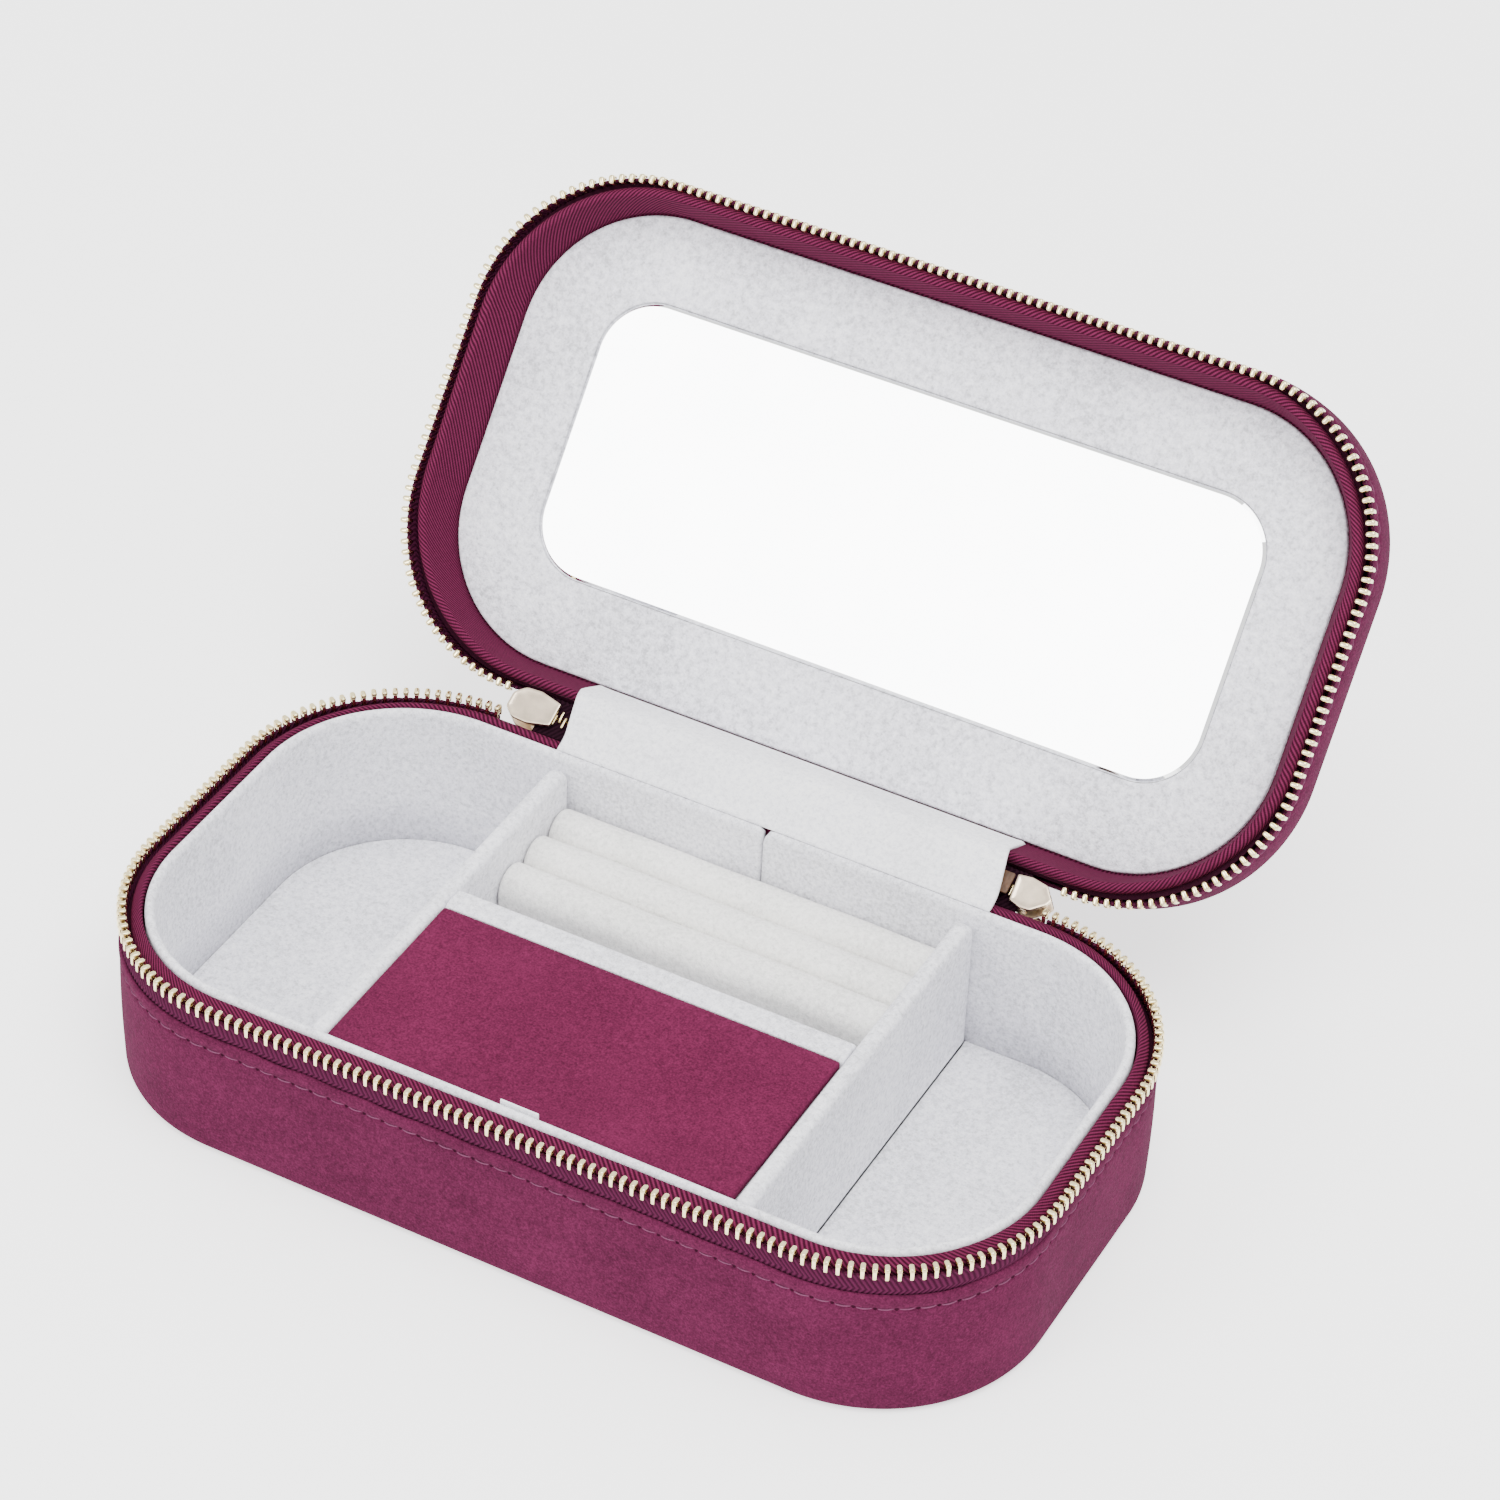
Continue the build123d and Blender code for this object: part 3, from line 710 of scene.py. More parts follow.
def end_panel(name, place, crown, body, replaces):
    """Suede panel that closes the shell's end, crowned over its padding."""
    inset = 2.65
    p, nrm, s = round_rect(HALF_X - inset, HALF_Y - inset, CORNER - inset, 1.4)
    loops = [ring(place, p - nrm * d, c) for d, c in ((0.3, 0.75), (0, 0.5), (0.02, 0.2), (0.25, 0.02))]
    for t in np.linspace(0.02, 1, 22)[:-1]:
        loops.append(ring(place, p * (1 - t), -crown * (1 - (1 - t) ** 4)))
    loft(name, loops, s, m_suede_shaded, caps=True, body=body, slot="suede", replaces=replaces)


end_panel("base_underside", on_base, 0.0, "base", ("base_bottom_cover",))
end_panel("lid_top_panel", shell_lid, 0.5, "lid", ("lid_top_cover",))

# ---- zipper on both rims
ZIP_START = 55.9       # of the rows, along the rim from the middle of the back
TOOTH_PITCH = 2.0
TAPE_FOLD = 0.86       # of the tape's root, in from the shell's face
TAPE_HALF = 0.24       # of its thickness


class RimLine:
    """The line of one rim's teeth, and the line where its tape leaves the shell's fold."""

    def __init__(self, hx, hy, r, shift):
        counts = ring_counts(hx, hy, r, 0.25)
        self.p, self.n, self.s = round_rect(hx, hy, r, counts=counts, cy=shift)
        self.root = round_rect(HALF_X - TAPE_FOLD, HALF_Y - TAPE_FOLD, CORNER - TAPE_FOLD, counts=counts)[0]

    def at(self, where):
        return along_line(where, self.p, self.n, self.s)

    def beside(self, x, y):
        """Length along this line at the point nearest to (x, y)."""
        k = int(np.argmin(np.hypot(self.p[:, 0] - x, self.p[:, 1] - y)))
        return self.s[k] - (x - self.p[k, 0]) * self.n[k, 1] + (y - self.p[k, 1]) * self.n[k, 0]


BASE_LINE = RimLine(90.5, 48.6, 33.4, 0.0)
LID_LINE = RimLine(90.45, 48.95, 32.0, 0.3)


def tape(name, place, rim, top, body, replaces):
    """Woven tape from inside the shell's fold up to the teeth."""
    keep = np.where((np.abs(rim.p[:, 0]) > ZIP_START + 0.6) | (rim.p[:, 1] < 0))[0]
    order = keep[np.argsort(rim.s[keep])]
    b, a, nn, u = rim.p[order], rim.root[order], rim.n[order], rim.s[order]
    rows = [(0.0, 9.0), (0.0, 5.6)] + [(min(1, max(0, (4.9 - z) / 3.0)), z) for z in np.arange(5.2, top, -0.22)]
    loops = []
    for thick in (TAPE_HALF, -TAPE_HALF):
        side = []
        for f, depth in rows:
            q = a * (1 - f) + b * f
            ridge = 0.08 * rib_wave(u, depth) * (depth < 5.0)
            swell = 0.22 * math.sin(math.pi * min(1, max(0, (depth - 1.6) / 3.3)))
            q = q + nn * (thick + swell + np.sign(thick) * ridge)[:, None]
            side.append(ring(place, q, depth))
        loops += side if thick > 0 else side[::-1]
    v = [depth for _, depth in rows]
    loft(name, loops, np.r_[u, u[-1] + 0.25], m_tape, wrap=True, closed=False, caps=True,
         v=v + v[::-1], body=body, slot="zipper_tape", replaces=replaces)


def rim_base(x, y, depth):
    return on_base(x, y, RIM_Z - depth)


tape("base_tape", rim_base, BASE_LINE, 0.6, "base", ("base_zipper_tape",))
tape("lid_tape", on_lid, LID_LINE, 1.5, "lid", ("lid_zipper_tape",))

LEG = lump((0.76, 0.50, 1.95), 0.24, (2, 2, 3), 4)
HEAD = lump((1.08, 1.80, 1.20), 0.53, rings=4)
NECK = lump((0.62, 1.4, 1.2), 0.25)
NIB = lump((0.42, 1.05, 0.50), 0.20)
TOOTH_PARTS = (
    (LEG, (0, 0.66, 1.62)), (LEG, (0, -0.66, 1.62)), (NECK, (0, 0, 1.4)), (HEAD, (0, 0, 0.66)),
    (NIB, (0.33, 0.02, 0.98)),
)


def tooth_parts():
    """One tooth about its root: a along the rim, b outward, depth below the rim plane; with its map for the painted
    shade.
    """
    out = []
    for (v, f), shift in TOOTH_PARTS:
        w = v + np.array(shift)
        # The map for the painted shade: how far out towards the flanks (the nib darker still), and depth towards the
        # root.
        rim = np.maximum(np.abs(v[:, 0]), np.abs(v[:, 1]) * 0.62)
        out.append((w, f, np.c_[rim + (0.3 if v is NIB[0] else 0), w[:, 2]]))
    head = out[3][0]
    head[:, 2] += 0.16 * np.exp(-((head[:, 0] / 0.3) ** 2) - (head[:, 1] / 0.6) ** 2) * (head[:, 2] < 0.5)
    return out


TOOTH = tooth_parts()


def teeth(name, place, rim, phase, raised, body, replaces):
    """Teeth spaced along the rim, each a little out of true; the two rims mesh when the case is shut."""
    pieces = []
    total, margin = BASE_LINE.s[-1], 0.2
    count = int((total - 2 * ZIP_START - 1.1) / TOOTH_PITCH)
    for i in range(-1, count + 1):
        at = ZIP_START + (i + phase) * TOOTH_PITCH
        if at < ZIP_START + margin or at > total - ZIP_START - margin:
            continue
        x, y = BASE_LINE.at(at)[:2]
        x, y, nx, ny = rim.at(rim.beside(x, y))
        skew = rng.uniform(-0.02, 0.02)
        lift = rng.uniform(-0.05, 0.05) - raised
        # The third part of each tooth piece is its map for the painted shade.
        for v, f, tone_map in TOOTH:
            a, b = v[:, 0] + skew * v[:, 1], v[:, 1]
            pieces.append((place(x - ny * a + nx * b, y + nx * a + ny * b, v[:, 2] + lift), f, tone_map))
    joined(name, pieces, m_gold, body=body, slot="gold_teeth", replaces=replaces)


teeth("base_teeth", rim_base, BASE_LINE, 0.5, 1.5, "base", ("base_zipper_teeth",))
teeth("lid_teeth", on_lid, LID_LINE, 1.0, 0.6, "lid", ("lid_zipper_teeth",))

# ---- collars
# Half sizes and corner radii of the rounded rectangles that the collars and the insert follow.
LINER = (86.4, 44.35, 28.8)
COLLAR = (89.0, 47.7, 32.9)
OUTER = (89.2, 47.9, 33.0)
LIP = (87.1, 45.9, 30.4)
THROAT = (84.1, 44.2, 26.9)
WALL_RISE = 0.65       # of the insert's wall over the CAD liner
GROOVE = 0.3           # between the collar and the insert
PANEL = 9.6            # depth of the mirror panel's face below the lid's rim
# Profiles from the outer line (0) to the inner line (1), with depth below the rim.
BASE_ROLL = (
    (0.0, 3.4), (-0.02, 2.4), (-0.02, 1.6), (0.03, 0.95), (0.11, 0.52), (0.22, 0.25), (0.35, 0.06), (0.48, -0.14),
    (0.60, -0.36), (0.72, -0.50), (0.83, -0.50), (0.92, -0.30), (0.98, 0.1), (1.0, 0.8), (1.0, 3.4),
)
LID_ROLL = ((0, 3.3), (0, 2.4), (0.03, 1.75), (0.15, 1.18), (0.35, 0.80), (0.6, 0.66), (0.82, 0.76), (1.0, 1.05))

collar_counts = ring_counts(*COLLAR, 0.8)
co, cn, cs = round_rect(*COLLAR, counts=collar_counts)
ci, lo_p, li_p, lt_p = (
    round_rect(*sizes, counts=collar_counts)[0]
    for sizes in ([v + GROOVE for v in LINER], OUTER, LIP, THROAT)
)
roll_wave = waves(cs[:-1], cs[-1], 0.07, 12, 6, 50)


def rolled(place, outer, inner, profile):
    """Loops of a rolled edge, with a faint ripple along its top."""
    return [ring(place, outer * (1 - f) + inner * f, depth + roll_wave * (depth < 1.5)) for f, depth in profile]


loops = rolled(rim_base, co, ci, BASE_ROLL)
loft("base_collar_roll", loops, cs, m_twill, wrap=True, body="base", slot="twill", replaces=("base_collar",))

loops = rolled(on_lid, lo_p, li_p, LID_ROLL)
for g in np.linspace(0.06, 1, 12):
    loops.append(ring(on_lid, li_p * (1 - g) + lt_p * g, 1.05 + g * 8.3))
for inward, depth in ((0.0, PANEL + 0.82), (0.6, PANEL + 0.86), (0.6, PANEL + 0.92)):
    loops.append(ring(on_lid, lt_p - cn * inward, depth))
loops.append(ring(on_lid, lo_p - cn * 1.2, PANEL + 0.92))
loft("lid_collar_well", loops, cs, m_twill, wrap=True, body="lid", slot="twill", replaces=("lid_collar",))

# ---- velvet insert
SLIT_X, SLIT = 2.3, 0.5
FLOOR = span("base_liner")[0][2]
WALL = 2.2             # of the insert's wall at its foot
END_RADII = 0.6, 1.5   # of the wall's top corners, left and right of the slit
# The wall's profile from its outer foot over the rim: distance inward, height.
WALL_PROFILE = (
    (0, FLOOR), (0, 12), (0, 22), (0, 30.6), (0.06, 31.2), (0.30, 31.7), (0.65, 31.95), (0.95, 32.0),
    (1.25, 31.95), (1.6, 31.7), (1.84, 31.2), (1.9, 30.6), (2.0, 22), (WALL, 12), (WALL, FLOOR),
)
sp, sn, ss = round_rect(*LINER, 0.8, start=SLIT_X, gap=SLIT)
end_dist = np.minimum(ss[:-1], ss[-2] - ss[:-1])
end_radius = np.where(np.arange(len(sp)) < len(sp) / 2, *END_RADII)
t = np.clip(end_dist / end_radius, 0, 1)
end_drop = end_radius * (1 - np.sqrt(np.clip(1 - (1 - t) ** 2, 0, 1)))
loops = [
    ring(on_base, sp - sn * d, c - end_drop * (c > 29) + (WALL_RISE if c > 25 else 0))
    for d, c in WALL_PROFILE
]
loft("insert_wall", loops, ss, m_velvet, closed=False, wrap=True, caps=True,
     body="base", slot="velvet_board", replaces=("base_liner",))


def pad(node):
    """Velvet floor pad cut to its compartment, its edges turned down."""
    lo, hi = span(node)
    under = 0.4        # under the dividers
    p = round_rect(LINER[0] - WALL, LINER[1] - WALL, LINER[2] - WALL, 0.8)[0]
    q = np.clip(p, lo[:2] - under, hi[:2] + under)
    keep = norm(np.diff(np.r_[q, q[:1]], axis=0), axis=1) > 1e-4
    obj = slab(node + "_velvet", q[keep], lo[2], hi[2], 0.16, on_base, m_velvet, edge_lo=0.05,
               body="base", slot="velvet", replaces=(node,))
    soften(obj, 60)


for box in ("left", "right", "flap_box", "ring"):
    pad(box + "_floor_pad")


def across_x(a, b, c):
    return on_base(c, a, b)


def upright(name, node, radii, step, edge):
    """Velvet-wrapped divider, drawn in the YZ plane and rounded over."""
    lo, hi = span(node)
    corners = [(lo[1], lo[2]), (hi[1], lo[2]), (hi[1], hi[2]), (lo[1], hi[2])]
    slab(name, rounded_polygon(corners, radii, step), lo[0], hi[0], edge, across_x, m_velvet,
         body="base", slot="velvet_board", replaces=(node,))


upright("left_divider", "divider_left", (0.4, 0.4, 3.2, 2.0), 1.2, 1.3)
upright("right_divider", "divider_right", (0.4, 0.4, 3.2, 2.0), 1.2, 1.3)
upright("cross_divider", "divider_cross", (0.4, 0.4, 1.5, 1.5), 0.8, 0.5)

for k in (1, 2, 3):
    node = f"ring_roll_{k}"
    lo, hi = span(node)
    mid, half = (lo[1] + hi[1]) / 2, (hi[1] - lo[1]) / 2
    arc = [(mid + half * math.cos(a), hi[2] - half + half * math.sin(a)) for a in np.linspace(0, math.pi, 25)]
    front = [(mid + half, z) for z in np.linspace(lo[2], hi[2] - half, 12)][:-1]
    back = [(mid - half, z) for z in np.linspace(hi[2] - half, lo[2], 12)][1:]
    ph = np.random.RandomState(k).uniform(0, 6.28, 4)

    def wobble(u, c, ph=ph):
        return 0.05 * np.sin(c / 7.1 + ph[0] + u / 9) + 0.04 * np.sin(c / 3.3 + ph[1] - u / 5) - 0.06

    obj = slab(f"roll_{k}", front + arc + back, lo[0], hi[0], 1.0, across_x, m_roll, levels=60, wobble=wobble,
               body="base", slot="roll", replaces=(node,))

# ---- flap
flo, fhi = span("flap_cover")


def flap_warp(v):
    """Board-backed suede: a faint crown, and the front right corner lifts."""
    fx = (v[:, 0] - flo[0]) / (fhi[0] - flo[0])
    fy = (v[:, 1] - flo[1]) / (fhi[1] - flo[1])
    d = np.hypot((1 - fx) * 80, fy * 39)
    rise = np.clip((v[:, 2] - flo[2]) / (fhi[2] - flo[2]), 0, 1)
    v[:, 2] += rise * (0.55 * np.exp(-((d / 9.0) ** 2)) + 0.06 * np.sin(v[:, 0] / 9) * np.sin(v[:, 1] / 7))
    return v


def on_flap(name, node, r, material, cell, warp, slot):
    soft_box(name, *span(node), r, on_base, material, cell, warp, body="flap", slot=slot, replaces=(node,))


on_flap("flap_suede", "flap_cover", 0.55, m_suede, 1.2, flap_warp, "suede")
on_flap("flap_underside", "flap_lining", 0.15, m_velvet, 2.0, flap_warp, "velvet")
tlo, thi = span("flap_tab")


def tab_warp(v):
    t = (v[:, 2] - tlo[2]) / (thi[2] - tlo[2])
    v[:, 1] -= 0.10 * t
    return v


on_flap("pull_tab", "flap_tab", 0.15, m_rim_velvet, 0.6, tab_warp, "velvet")
hlo, hhi = span("flap_hinge")
obj = soft_box("flap_hinge_cloth", hlo, hhi, 0.055, on_base, m_velvet, 0.8,
               slot="velvet", replaces=("flap_hinge",))
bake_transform(obj)

# ---- lid panel and mirror
WINDOW = (68.5, 27.4, 11.6)
MIRROR = (68.4, 27.3, 11.5)
MIRROR_AT = {"cx": 0.93, "cy": -0.2}
PANEL_BACK = (86.6, 46.2, 29.2)
FOAM = (86.4, 46.2, 28.8)
FOAM_LO, FOAM_HI = 13.92, 15.28

pc = ring_counts(*WINDOW, 0.7)
pp, pn, ps = round_rect(*WINDOW, counts=pc, **MIRROR_AT)
po = round_rect(*PANEL_BACK, counts=pc)[0]
pt, ptn, _ = round_rect(*THROAT, counts=pc)
loops = [ring(on_lid, po, PANEL + 1.45), ring(on_lid, pp, PANEL + 1.45)]
for d, h in ((0, 0.45), (0.08, 0.2), (0.28, 0.05), (0.6, 0.0)):
    loops.append(ring(on_lid, pp + pn * d, PANEL + h))
for t in np.linspace(0.05, 1, 14):
    loops.append(ring(on_lid, pp * (1 - t) + (pt - ptn * 0.95) * t, PANEL - 0.10 * math.sin(math.pi * t)))
for d, h in ((0.78, 0.03), (0.60, 0.12), (0.49, 0.28), (0.43, 0.50), (0.40, 0.9)):
    loops.append(ring(on_lid, pt - ptn * d, PANEL + h))
loops.append(ring(on_lid, po, PANEL + 0.95))
loft("mirror_panel", loops, ps, m_panel, wrap=True, body="lid", slot="velvet", replaces=("lid_panel",))

mp, mn, ms = round_rect(*MIRROR, 0.7, **MIRROR_AT)
loops = [ring(on_lid, mp - mn * d, PANEL + h) for d, h in ((0, 1.4), (0, 0.55), (0.7, 0.16))]
loft("mirror_glass", loops, ms, m_mirror, caps=True, smooth=False,
     body="lid", slot="mirror", replaces=("mirror",))

obj = slab("lid_foam", round_rect(*FOAM, 1.5)[0], FOAM_LO, FOAM_HI, 0.6, on_lid, m_roll,
           body="lid", slot="padding", replaces=("lid_padding",))

# ---- hinge cloth
def catmull(points, count):
    """Smooth curve through points, evenly spaced."""
    p = np.array(points, float)
    p = np.r_[[2 * p[0] - p[1]], p, [2 * p[-1] - p[-2]]]
    out = []
    for i in range(1, len(p) - 2):
        for t in np.linspace(0, 1, 40, endpoint=False):
            a, b, c, d = p[i - 1 : i + 3]
            bend, twist = 2 * a - 5 * b + 4 * c - d, 3 * b - a - 3 * c + d
            out.append(0.5 * (2 * b + (c - a) * t + bend * t * t + twist * t ** 3))
    out.append(p[-2])
    out = np.array(out)
    s = np.r_[0, np.cumsum(norm(np.diff(out, axis=0), axis=1))]
    at = np.linspace(0, s[-1], count)
    return np.c_[np.interp(at, s, out[:, 0]), np.interp(at, s, out[:, 1])], s[-1]


def directions(line):
    d = np.gradient(line, axis=0)
    return d / norm(d, axis=1)[:, None]


def hinge_cloth(name, points, thick, x_lo, x_hi, material, slot, node, hem, skew=0.0):
    """Strip of cloth along X over the hinge, its long edges folded under; skew moves its lid end along X."""
    rows = 40
    line, length = catmull(points, rows)
    d = directions(line)
    nrm = np.c_[-d[:, 1], d[:, 0]]
    e = np.array([0, 0.12, 0.35, 0.8, 1.6, 3.0])
    xs = np.unique(np.r_[x_lo + e, np.linspace(x_lo + 4, x_hi - 4, 60), x_hi - e])
    near = np.minimum(xs - x_lo, x_hi - xs)
    puff = hem * np.exp(-(((near - 0.9) / 0.8) ** 2)) - thick * 0.42 * np.exp(-near / 0.12)
    loops = []
    for side, order in ((1, range(rows)), (-1, range(rows - 1, -1, -1))):
        for k in order:
            t = k / (rows - 1)
            end = 1 - 0.75 * math.exp(-min(t, 1 - t) * length / 0.25)
            off = side * (thick / 2 * end + (puff if side > 0 else puff * 0.2))
            y = line[k, 0] + nrm[k, 0] * off
            z = line[k, 1] + nrm[k, 1] * off
            slide = skew * min(1.0, max(0.0, (t - 0.15) / 0.5)) ** 1.3
            loops.append(on_base(xs + slide, y, z))
    u = np.r_[xs - x_lo, x_hi - x_lo + 1]
    obj = loft(name, loops, u, material, wrap=True, closed=False, caps=True, slot=slot, replaces=(node,))
    return obj, length


def yz(y, h):
    q = on_lid(0.0, y, h)
    return (q[1], q[2])


# Both cloths run from the base (y, z) over the hinge to the lid, where yz() takes the lid's own y and depth.
STRIP_LINE = [
    (43.75, 32.72), (44.6, 32.95), (45.9, 33.45), (48.4, 35.2), (51.9, 36.8), yz(45.95, -0.4), yz(44.1, 9.15),
]
SPINE_LINE = [
    (48.74, 22.3), (48.74, 26.4), (50.0, 29.1), (52.9, 30.4), yz(48.9, 4.4), yz(48.74, 6.0), yz(48.74, 9.7),
]
slo, shi = span("hinge_strip")
obj, length = hinge_cloth("hinge_strip_velvet", STRIP_LINE, 0.7, slo[0] + 0.5, shi[0], m_rim_velvet,
                          "velvet", "hinge_strip", 0.10, -2.8)
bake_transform(obj)
plo, phi = span("hinge_spine")
obj, length = hinge_cloth("hinge_spine_suede", SPINE_LINE, 0.35, plo[0], phi[0], m_suede,
                          "suede", "hinge_spine", 0.05)
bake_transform(obj)

# ---- closed chain behind the sliders
TAPE_ENDS = ((-49.6, -41.85), (43.45, 50.3))
TAPE_REACH = 3.9       # of the tape to either side of the chain
CHAIN_LEFT, CHAIN_RIGHT, CHAIN_TEETH = -42.4, 44.0, 8
CHAIN_SQUEEZE = 0.66   # of the teeth along the chain
PATCH = (43.6, 48.0, 2.1)
PATCH_FOLD = (43.6, 46.4, 2.05)

across = list(np.linspace(-TAPE_REACH, TAPE_REACH, 30))
for k, (x_lo, x_hi) in enumerate(TAPE_ENDS):
    xs = np.linspace(x_lo, x_hi, 60)
    loops = []
    for side in (1, -1):
        for w in np.linspace(-TAPE_REACH, TAPE_REACH, 30) * side:
            loops.append(on_chain(xs, w, side * 0.2 + 0.05 * rib_wave(xs, w)))
    loft(f"tape_end_{k}", loops, np.r_[xs, x_hi + 0.2], m_tape_shaded, wrap=True, closed=False, caps=True,
         v=across + across[::-1], body="zip_bridge", slot="zipper_tape", replaces=("back_zipper_tape",))

pieces = []
for k in range(CHAIN_TEETH):
    for x in (CHAIN_LEFT - k, CHAIN_RIGHT + k):
        side = 1 if k % 2 else -1
        # The third part of each tooth piece is its map for the painted shade.
        for w, f, tone_map in TOOTH:
            pieces.append((on_chain(x + w[:, 0] * CHAIN_SQUEEZE, side * (w[:, 2] - 0.95), w[:, 1]), f, tone_map))
joined("closed_chain", pieces, m_gold, body="zip_bridge", slot="gold_teeth", replaces=("back_zipper_teeth",))


def leather_piece(name, x_lo, x_hi, half, lo, hi, edge, **kw):
    corners = [(x_lo, -half), (x_hi, -half), (x_hi, half), (x_lo, half)]
    slab(name, rounded_polygon(corners, (0.3,) * 4, 0.6), lo, hi, edge, on_chain, m_leather,
         body="zip_bridge", slot="brown_leather", **kw)


leather_piece("end_patch", *PATCH, 2.12, 2.55, 0.12, replaces=("zipper_end_patch",))
leather_piece("end_patch_fold", *PATCH_FOLD, 1.1, 2.2, 0.1)

# ---- sliders
SHIELDS = {
    -1: [(-4.2, 2.4), (0.4, 3.5), (3.6, 3.3), (5.6, 1.6), (5.6, -1.6), (3.6, -3.3), (0.4, -3.5), (-4.2, -2.4)],
    1: [(-3.2, 2.5), (-0.4, 2.85), (2.8, 2.3), (4.7, -0.2), (4.1, -1.4), (1.7, -3.4), (-0.4, -3.5), (-2.7, -2.7)],
}
SHIELD_RADII = {-1: (0.35, 1.8, 1.6, 1.3, 1.3, 1.6, 1.8, 0.35), 1: (0.35, 1.4, 1.1, 0.7, 0.7, 0.9, 0.9, 0.5)}


def shield(x, mouth):
    """Outline of a slider's plates, its mouth end broader than its tail."""
    return rounded_polygon([(x + mouth * a, b) for a, b in SHIELDS[mouth]], SHIELD_RADII[mouth], 0.3)


# A plate's rim from its inner edge over the outer face: distance inward, height off the chain.
PLATE_RIM = ((0.5, 1.35), (0.12, 1.38), (0, 1.5), (0.0, 1.8), (0.10, 1.98), (0.30, 2.05), (0.55, 2.0), (0.75, 1.93))
BAIL = [(-2.3, -1.9), (-2.3, -3.2), (-2.05, -3.72), (-1.5, -3.9), (1.5, -3.9), (2.05, -3.72), (2.3, -3.2), (2.3, -1.9)]
BAIL_R, BAIL_ROWS, BAIL_SIDES = 0.45, 40, 12


def bail(x):
    """The bent wire that holds the puller, as (verts, faces)."""
    line = catmull(BAIL, BAIL_ROWS)[0]
    d = directions(line)
    verts, faces = [], []
    for k in range(BAIL_ROWS):
        for a in np.linspace(0, 2 * math.pi, BAIL_SIDES + 1)[:-1]:
            out, over = BAIL_R * math.cos(a), BAIL_R * math.sin(a)
            verts.append(on_chain(x + line[k, 0] - d[k, 1] * out, over, line[k, 1] + d[k, 0] * out))
    for k in range(BAIL_ROWS - 1):
        for a in range(BAIL_SIDES):
            this, after = k * BAIL_SIDES, (k + 1) * BAIL_SIDES
            b = (a + 1) % BAIL_SIDES
            faces.append((this + a, this + b, after + b, after + a))
    return np.array(verts), faces


def slider(node, mouth):
    """Two plates, the post between their mouths, the guides along their tails, and the bail."""
    lo, hi = span(node)
    x = (lo[0] + hi[0]) / 2
    path = shield(x, mouth)
    nrm = outline_normals(path)
    for way, label in ((1, "inner"), (-1, "outer")):
        loops = [ring(on_chain, path - nrm * d, way * h) for d, h in PLATE_RIM]
        inner = path - nrm * PLATE_RIM[-1][0]
        for t in (0.25, 0.5, 0.75, 0.93):
            q = inner * (1 - t)
            q[:, 0] = inner[:, 0] * (1 - t * 0.55) + x * t * 0.55
            loops.append(ring(on_chain, q, way * (PLATE_RIM[-1][1] - 0.05 * t)))
        obj = loft(f"{node}_{label}_plate", loops, lengths(path), m_slider, caps=True,
                   body=node, slot="gold_slider", replaces=(node,))
        soften(obj, 35)
    v, f = lump((2.0, 2.0, 3.0), 0.6, rings=4)
    pieces = [(on_chain(x + mouth * 2.2 + v[:, 0], v[:, 1], v[:, 2]), f)]
    v, f = lump((3.0, 0.5, 0.9), 0.15)
    for up in (1, -1):
        for w in (1, -1):
            along = x - mouth * 1.2 + v[:, 0] * mouth
            pieces.append((on_chain(along, w * (2.45 + v[:, 1] + v[:, 0] * 0.14), up * (1.0 + v[:, 2])), f))
    pieces.append(bail(x))
    joined(f"{node}_works", pieces, m_slider, body=node, slot="gold_slider")


slider("slider_left", -1)
slider("slider_right", 1)

# ---- CAD nodes that keep their shape
# Near-black wine cloth on the wall boards: painted shade for the dark seen through the insert's slit.
m_shaded_wrap = twill("shaded_board_cloth", (0.030, 0.0055, 0.015), 0.52, 45, 0.07)
KEPT = (
    (m_shaded_wrap, ("base_wall_board", "lid_wall_board")),
    (m_board, ("base_floor_board", "lid_top_board", "mirror_backing", "flap_board")),
    (m_slider, ("puller_link_left", "puller_link_right", "puller_left", "puller_right")),
)
for material, nodes in KEPT:
    for node in nodes:
        frame["nodes"][node].data.materials.clear()
        frame["nodes"][node].data.materials.append(material)

# ---- stage, light and camera
FLOOR_GLOW, WORLD_GLOW = 1.3, 1.7
FLOOR_HALF, FLOOR_Z = 6.0, -0.0002         # metres

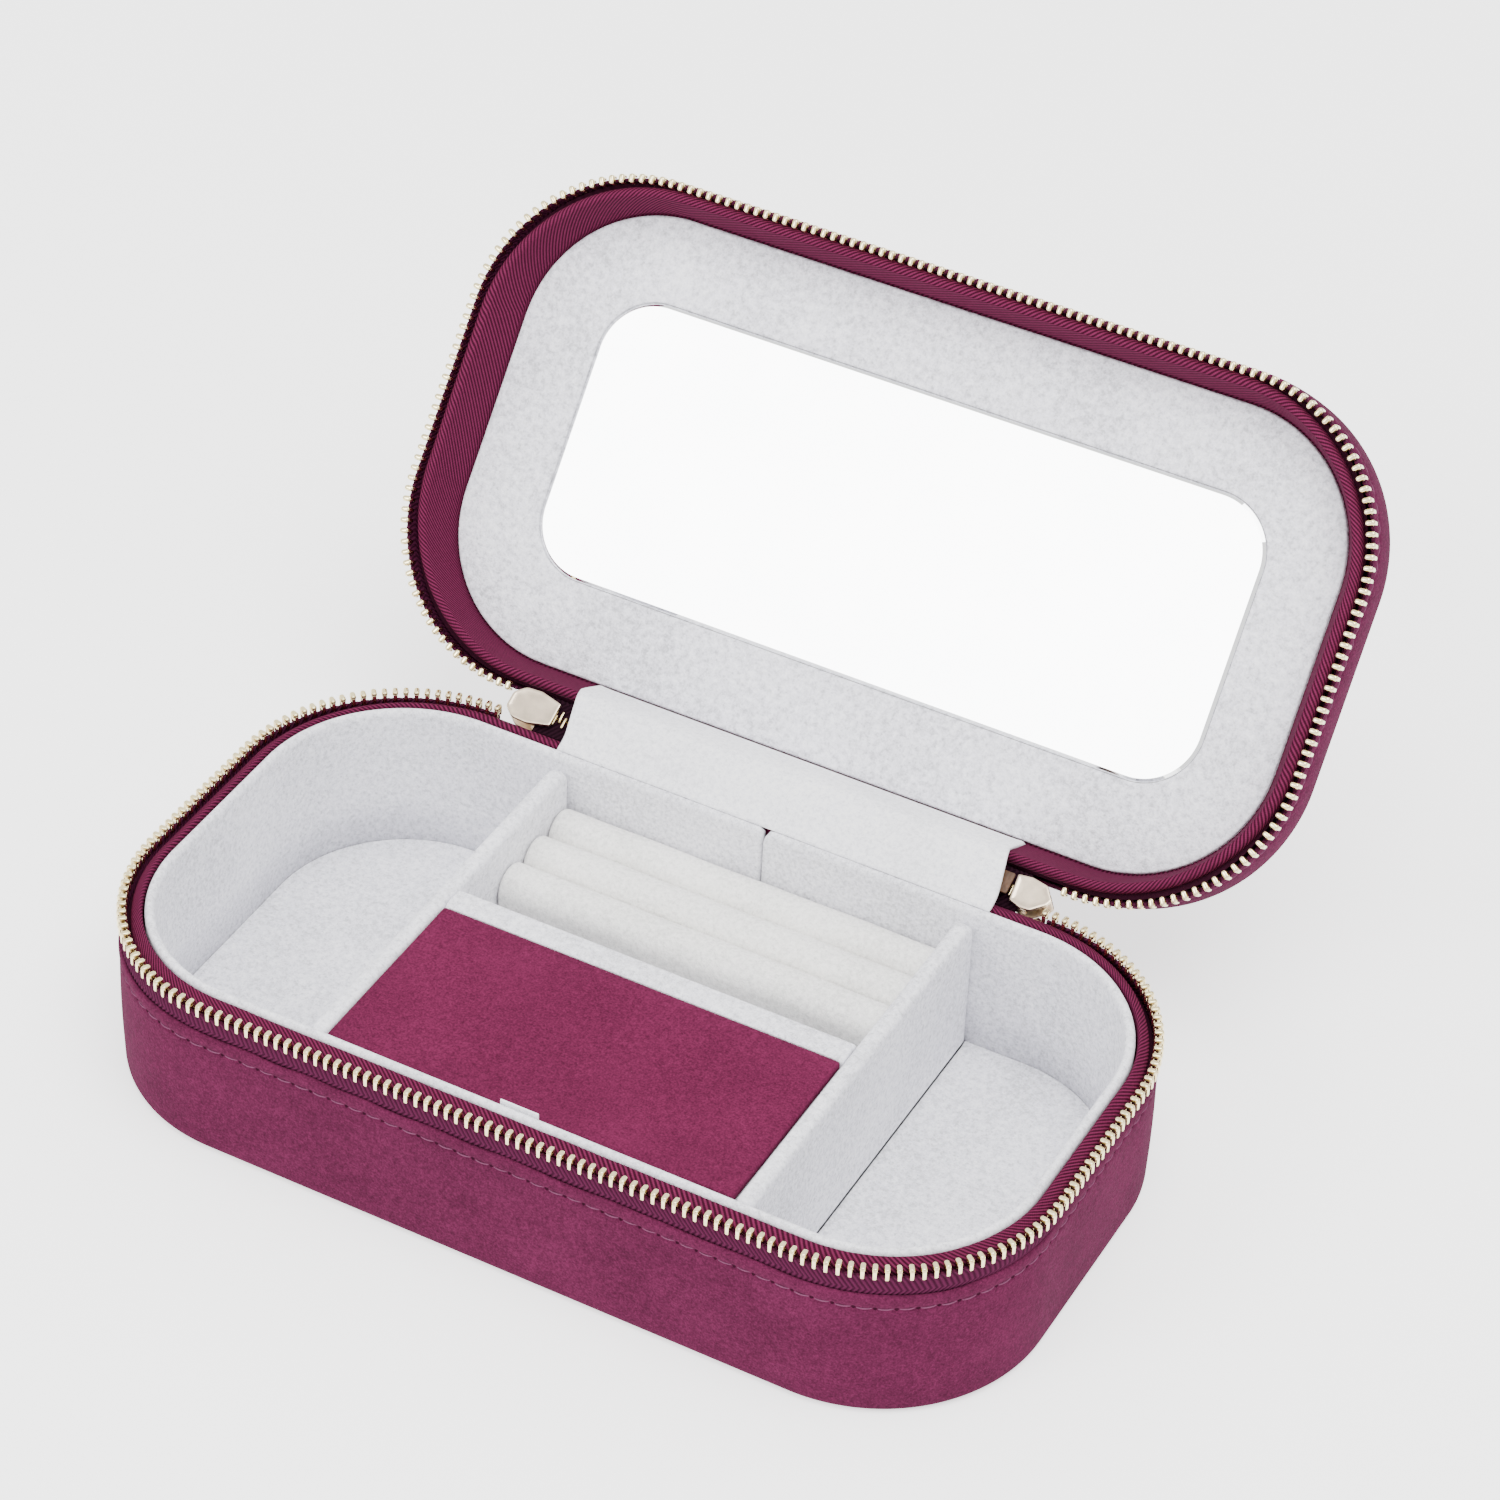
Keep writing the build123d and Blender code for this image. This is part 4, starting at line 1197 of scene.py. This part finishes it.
n = Nodes("floor_white")
n.finish(n.ramp(n.noise(400, 2), [(0.3, (0.93, 0.93, 0.93)), (0.7, (0.95, 0.95, 0.95))]), 0.9)
n.bsdf.inputs["Emission Color"].default_value = (1, 1, 1, 1)
n.bsdf.inputs["Emission Strength"].default_value = FLOOR_GLOW
mesh = bpy.data.meshes.new("floor")
corners = [(a * FLOOR_HALF, b * FLOOR_HALF, FLOOR_Z) for a, b in ((-1, -1), (1, -1), (1, 1), (-1, 1))]
mesh.from_pydata(corners, [], [(0, 1, 2, 3)])
mesh.materials.append(n.mat)
floor = show("floor", mesh)

world = bpy.data.worlds.new("studio")
bpy.context.scene.world = world
world.use_nodes = True
background = world.node_tree.nodes["Background"]
background.inputs[0].default_value = (1, 1, 1, 1)
background.inputs[1].default_value = WORLD_GLOW


def area_light(name, location, target, size, power):
    data = bpy.data.lights.new(name, "AREA")
    data.shape = "DISK"
    data.size = size
    data.energy = power
    obj = show(name, data)
    obj.location = location
    obj.rotation_euler = (Vector(target) - Vector(location)).to_track_quat("-Z", "Y").to_euler()


area_light("overhead", (0.35, -0.20, 1.30), (0, 0.03, 0.03), 1.0, 20)
area_light("front_softbox", (-0.457, -0.887, 0.78), (0, 0.09, 0.07), 0.5, 6)

# The camera of the photograph, fitted to it: where it is turned, where it stands in metres, and its lens.
AZ, EL, ROLL = math.radians(26.98), math.radians(39.05), math.radians(2.51)
STANDS = Vector((0.30628, -0.56104, 0.59979))
LENS_MM, SENSOR_MM = 117.24, 36.0
back = Vector((math.sin(AZ) * math.cos(EL), -math.cos(AZ) * math.cos(EL), math.sin(EL)))
right0 = Vector((math.cos(AZ), math.sin(AZ), 0))
up0 = back.cross(right0)
right = math.cos(ROLL) * right0 + math.sin(ROLL) * up0
up = -math.sin(ROLL) * right0 + math.cos(ROLL) * up0
cam_data = bpy.data.cameras.new("camera")
cam_data.lens = LENS_MM
cam_data.sensor_width = SENSOR_MM
camera = show("camera", cam_data)
m = Matrix((right, up, back)).transposed().to_4x4()
m.translation = STANDS
camera.matrix_world = m
bpy.context.scene.camera = camera
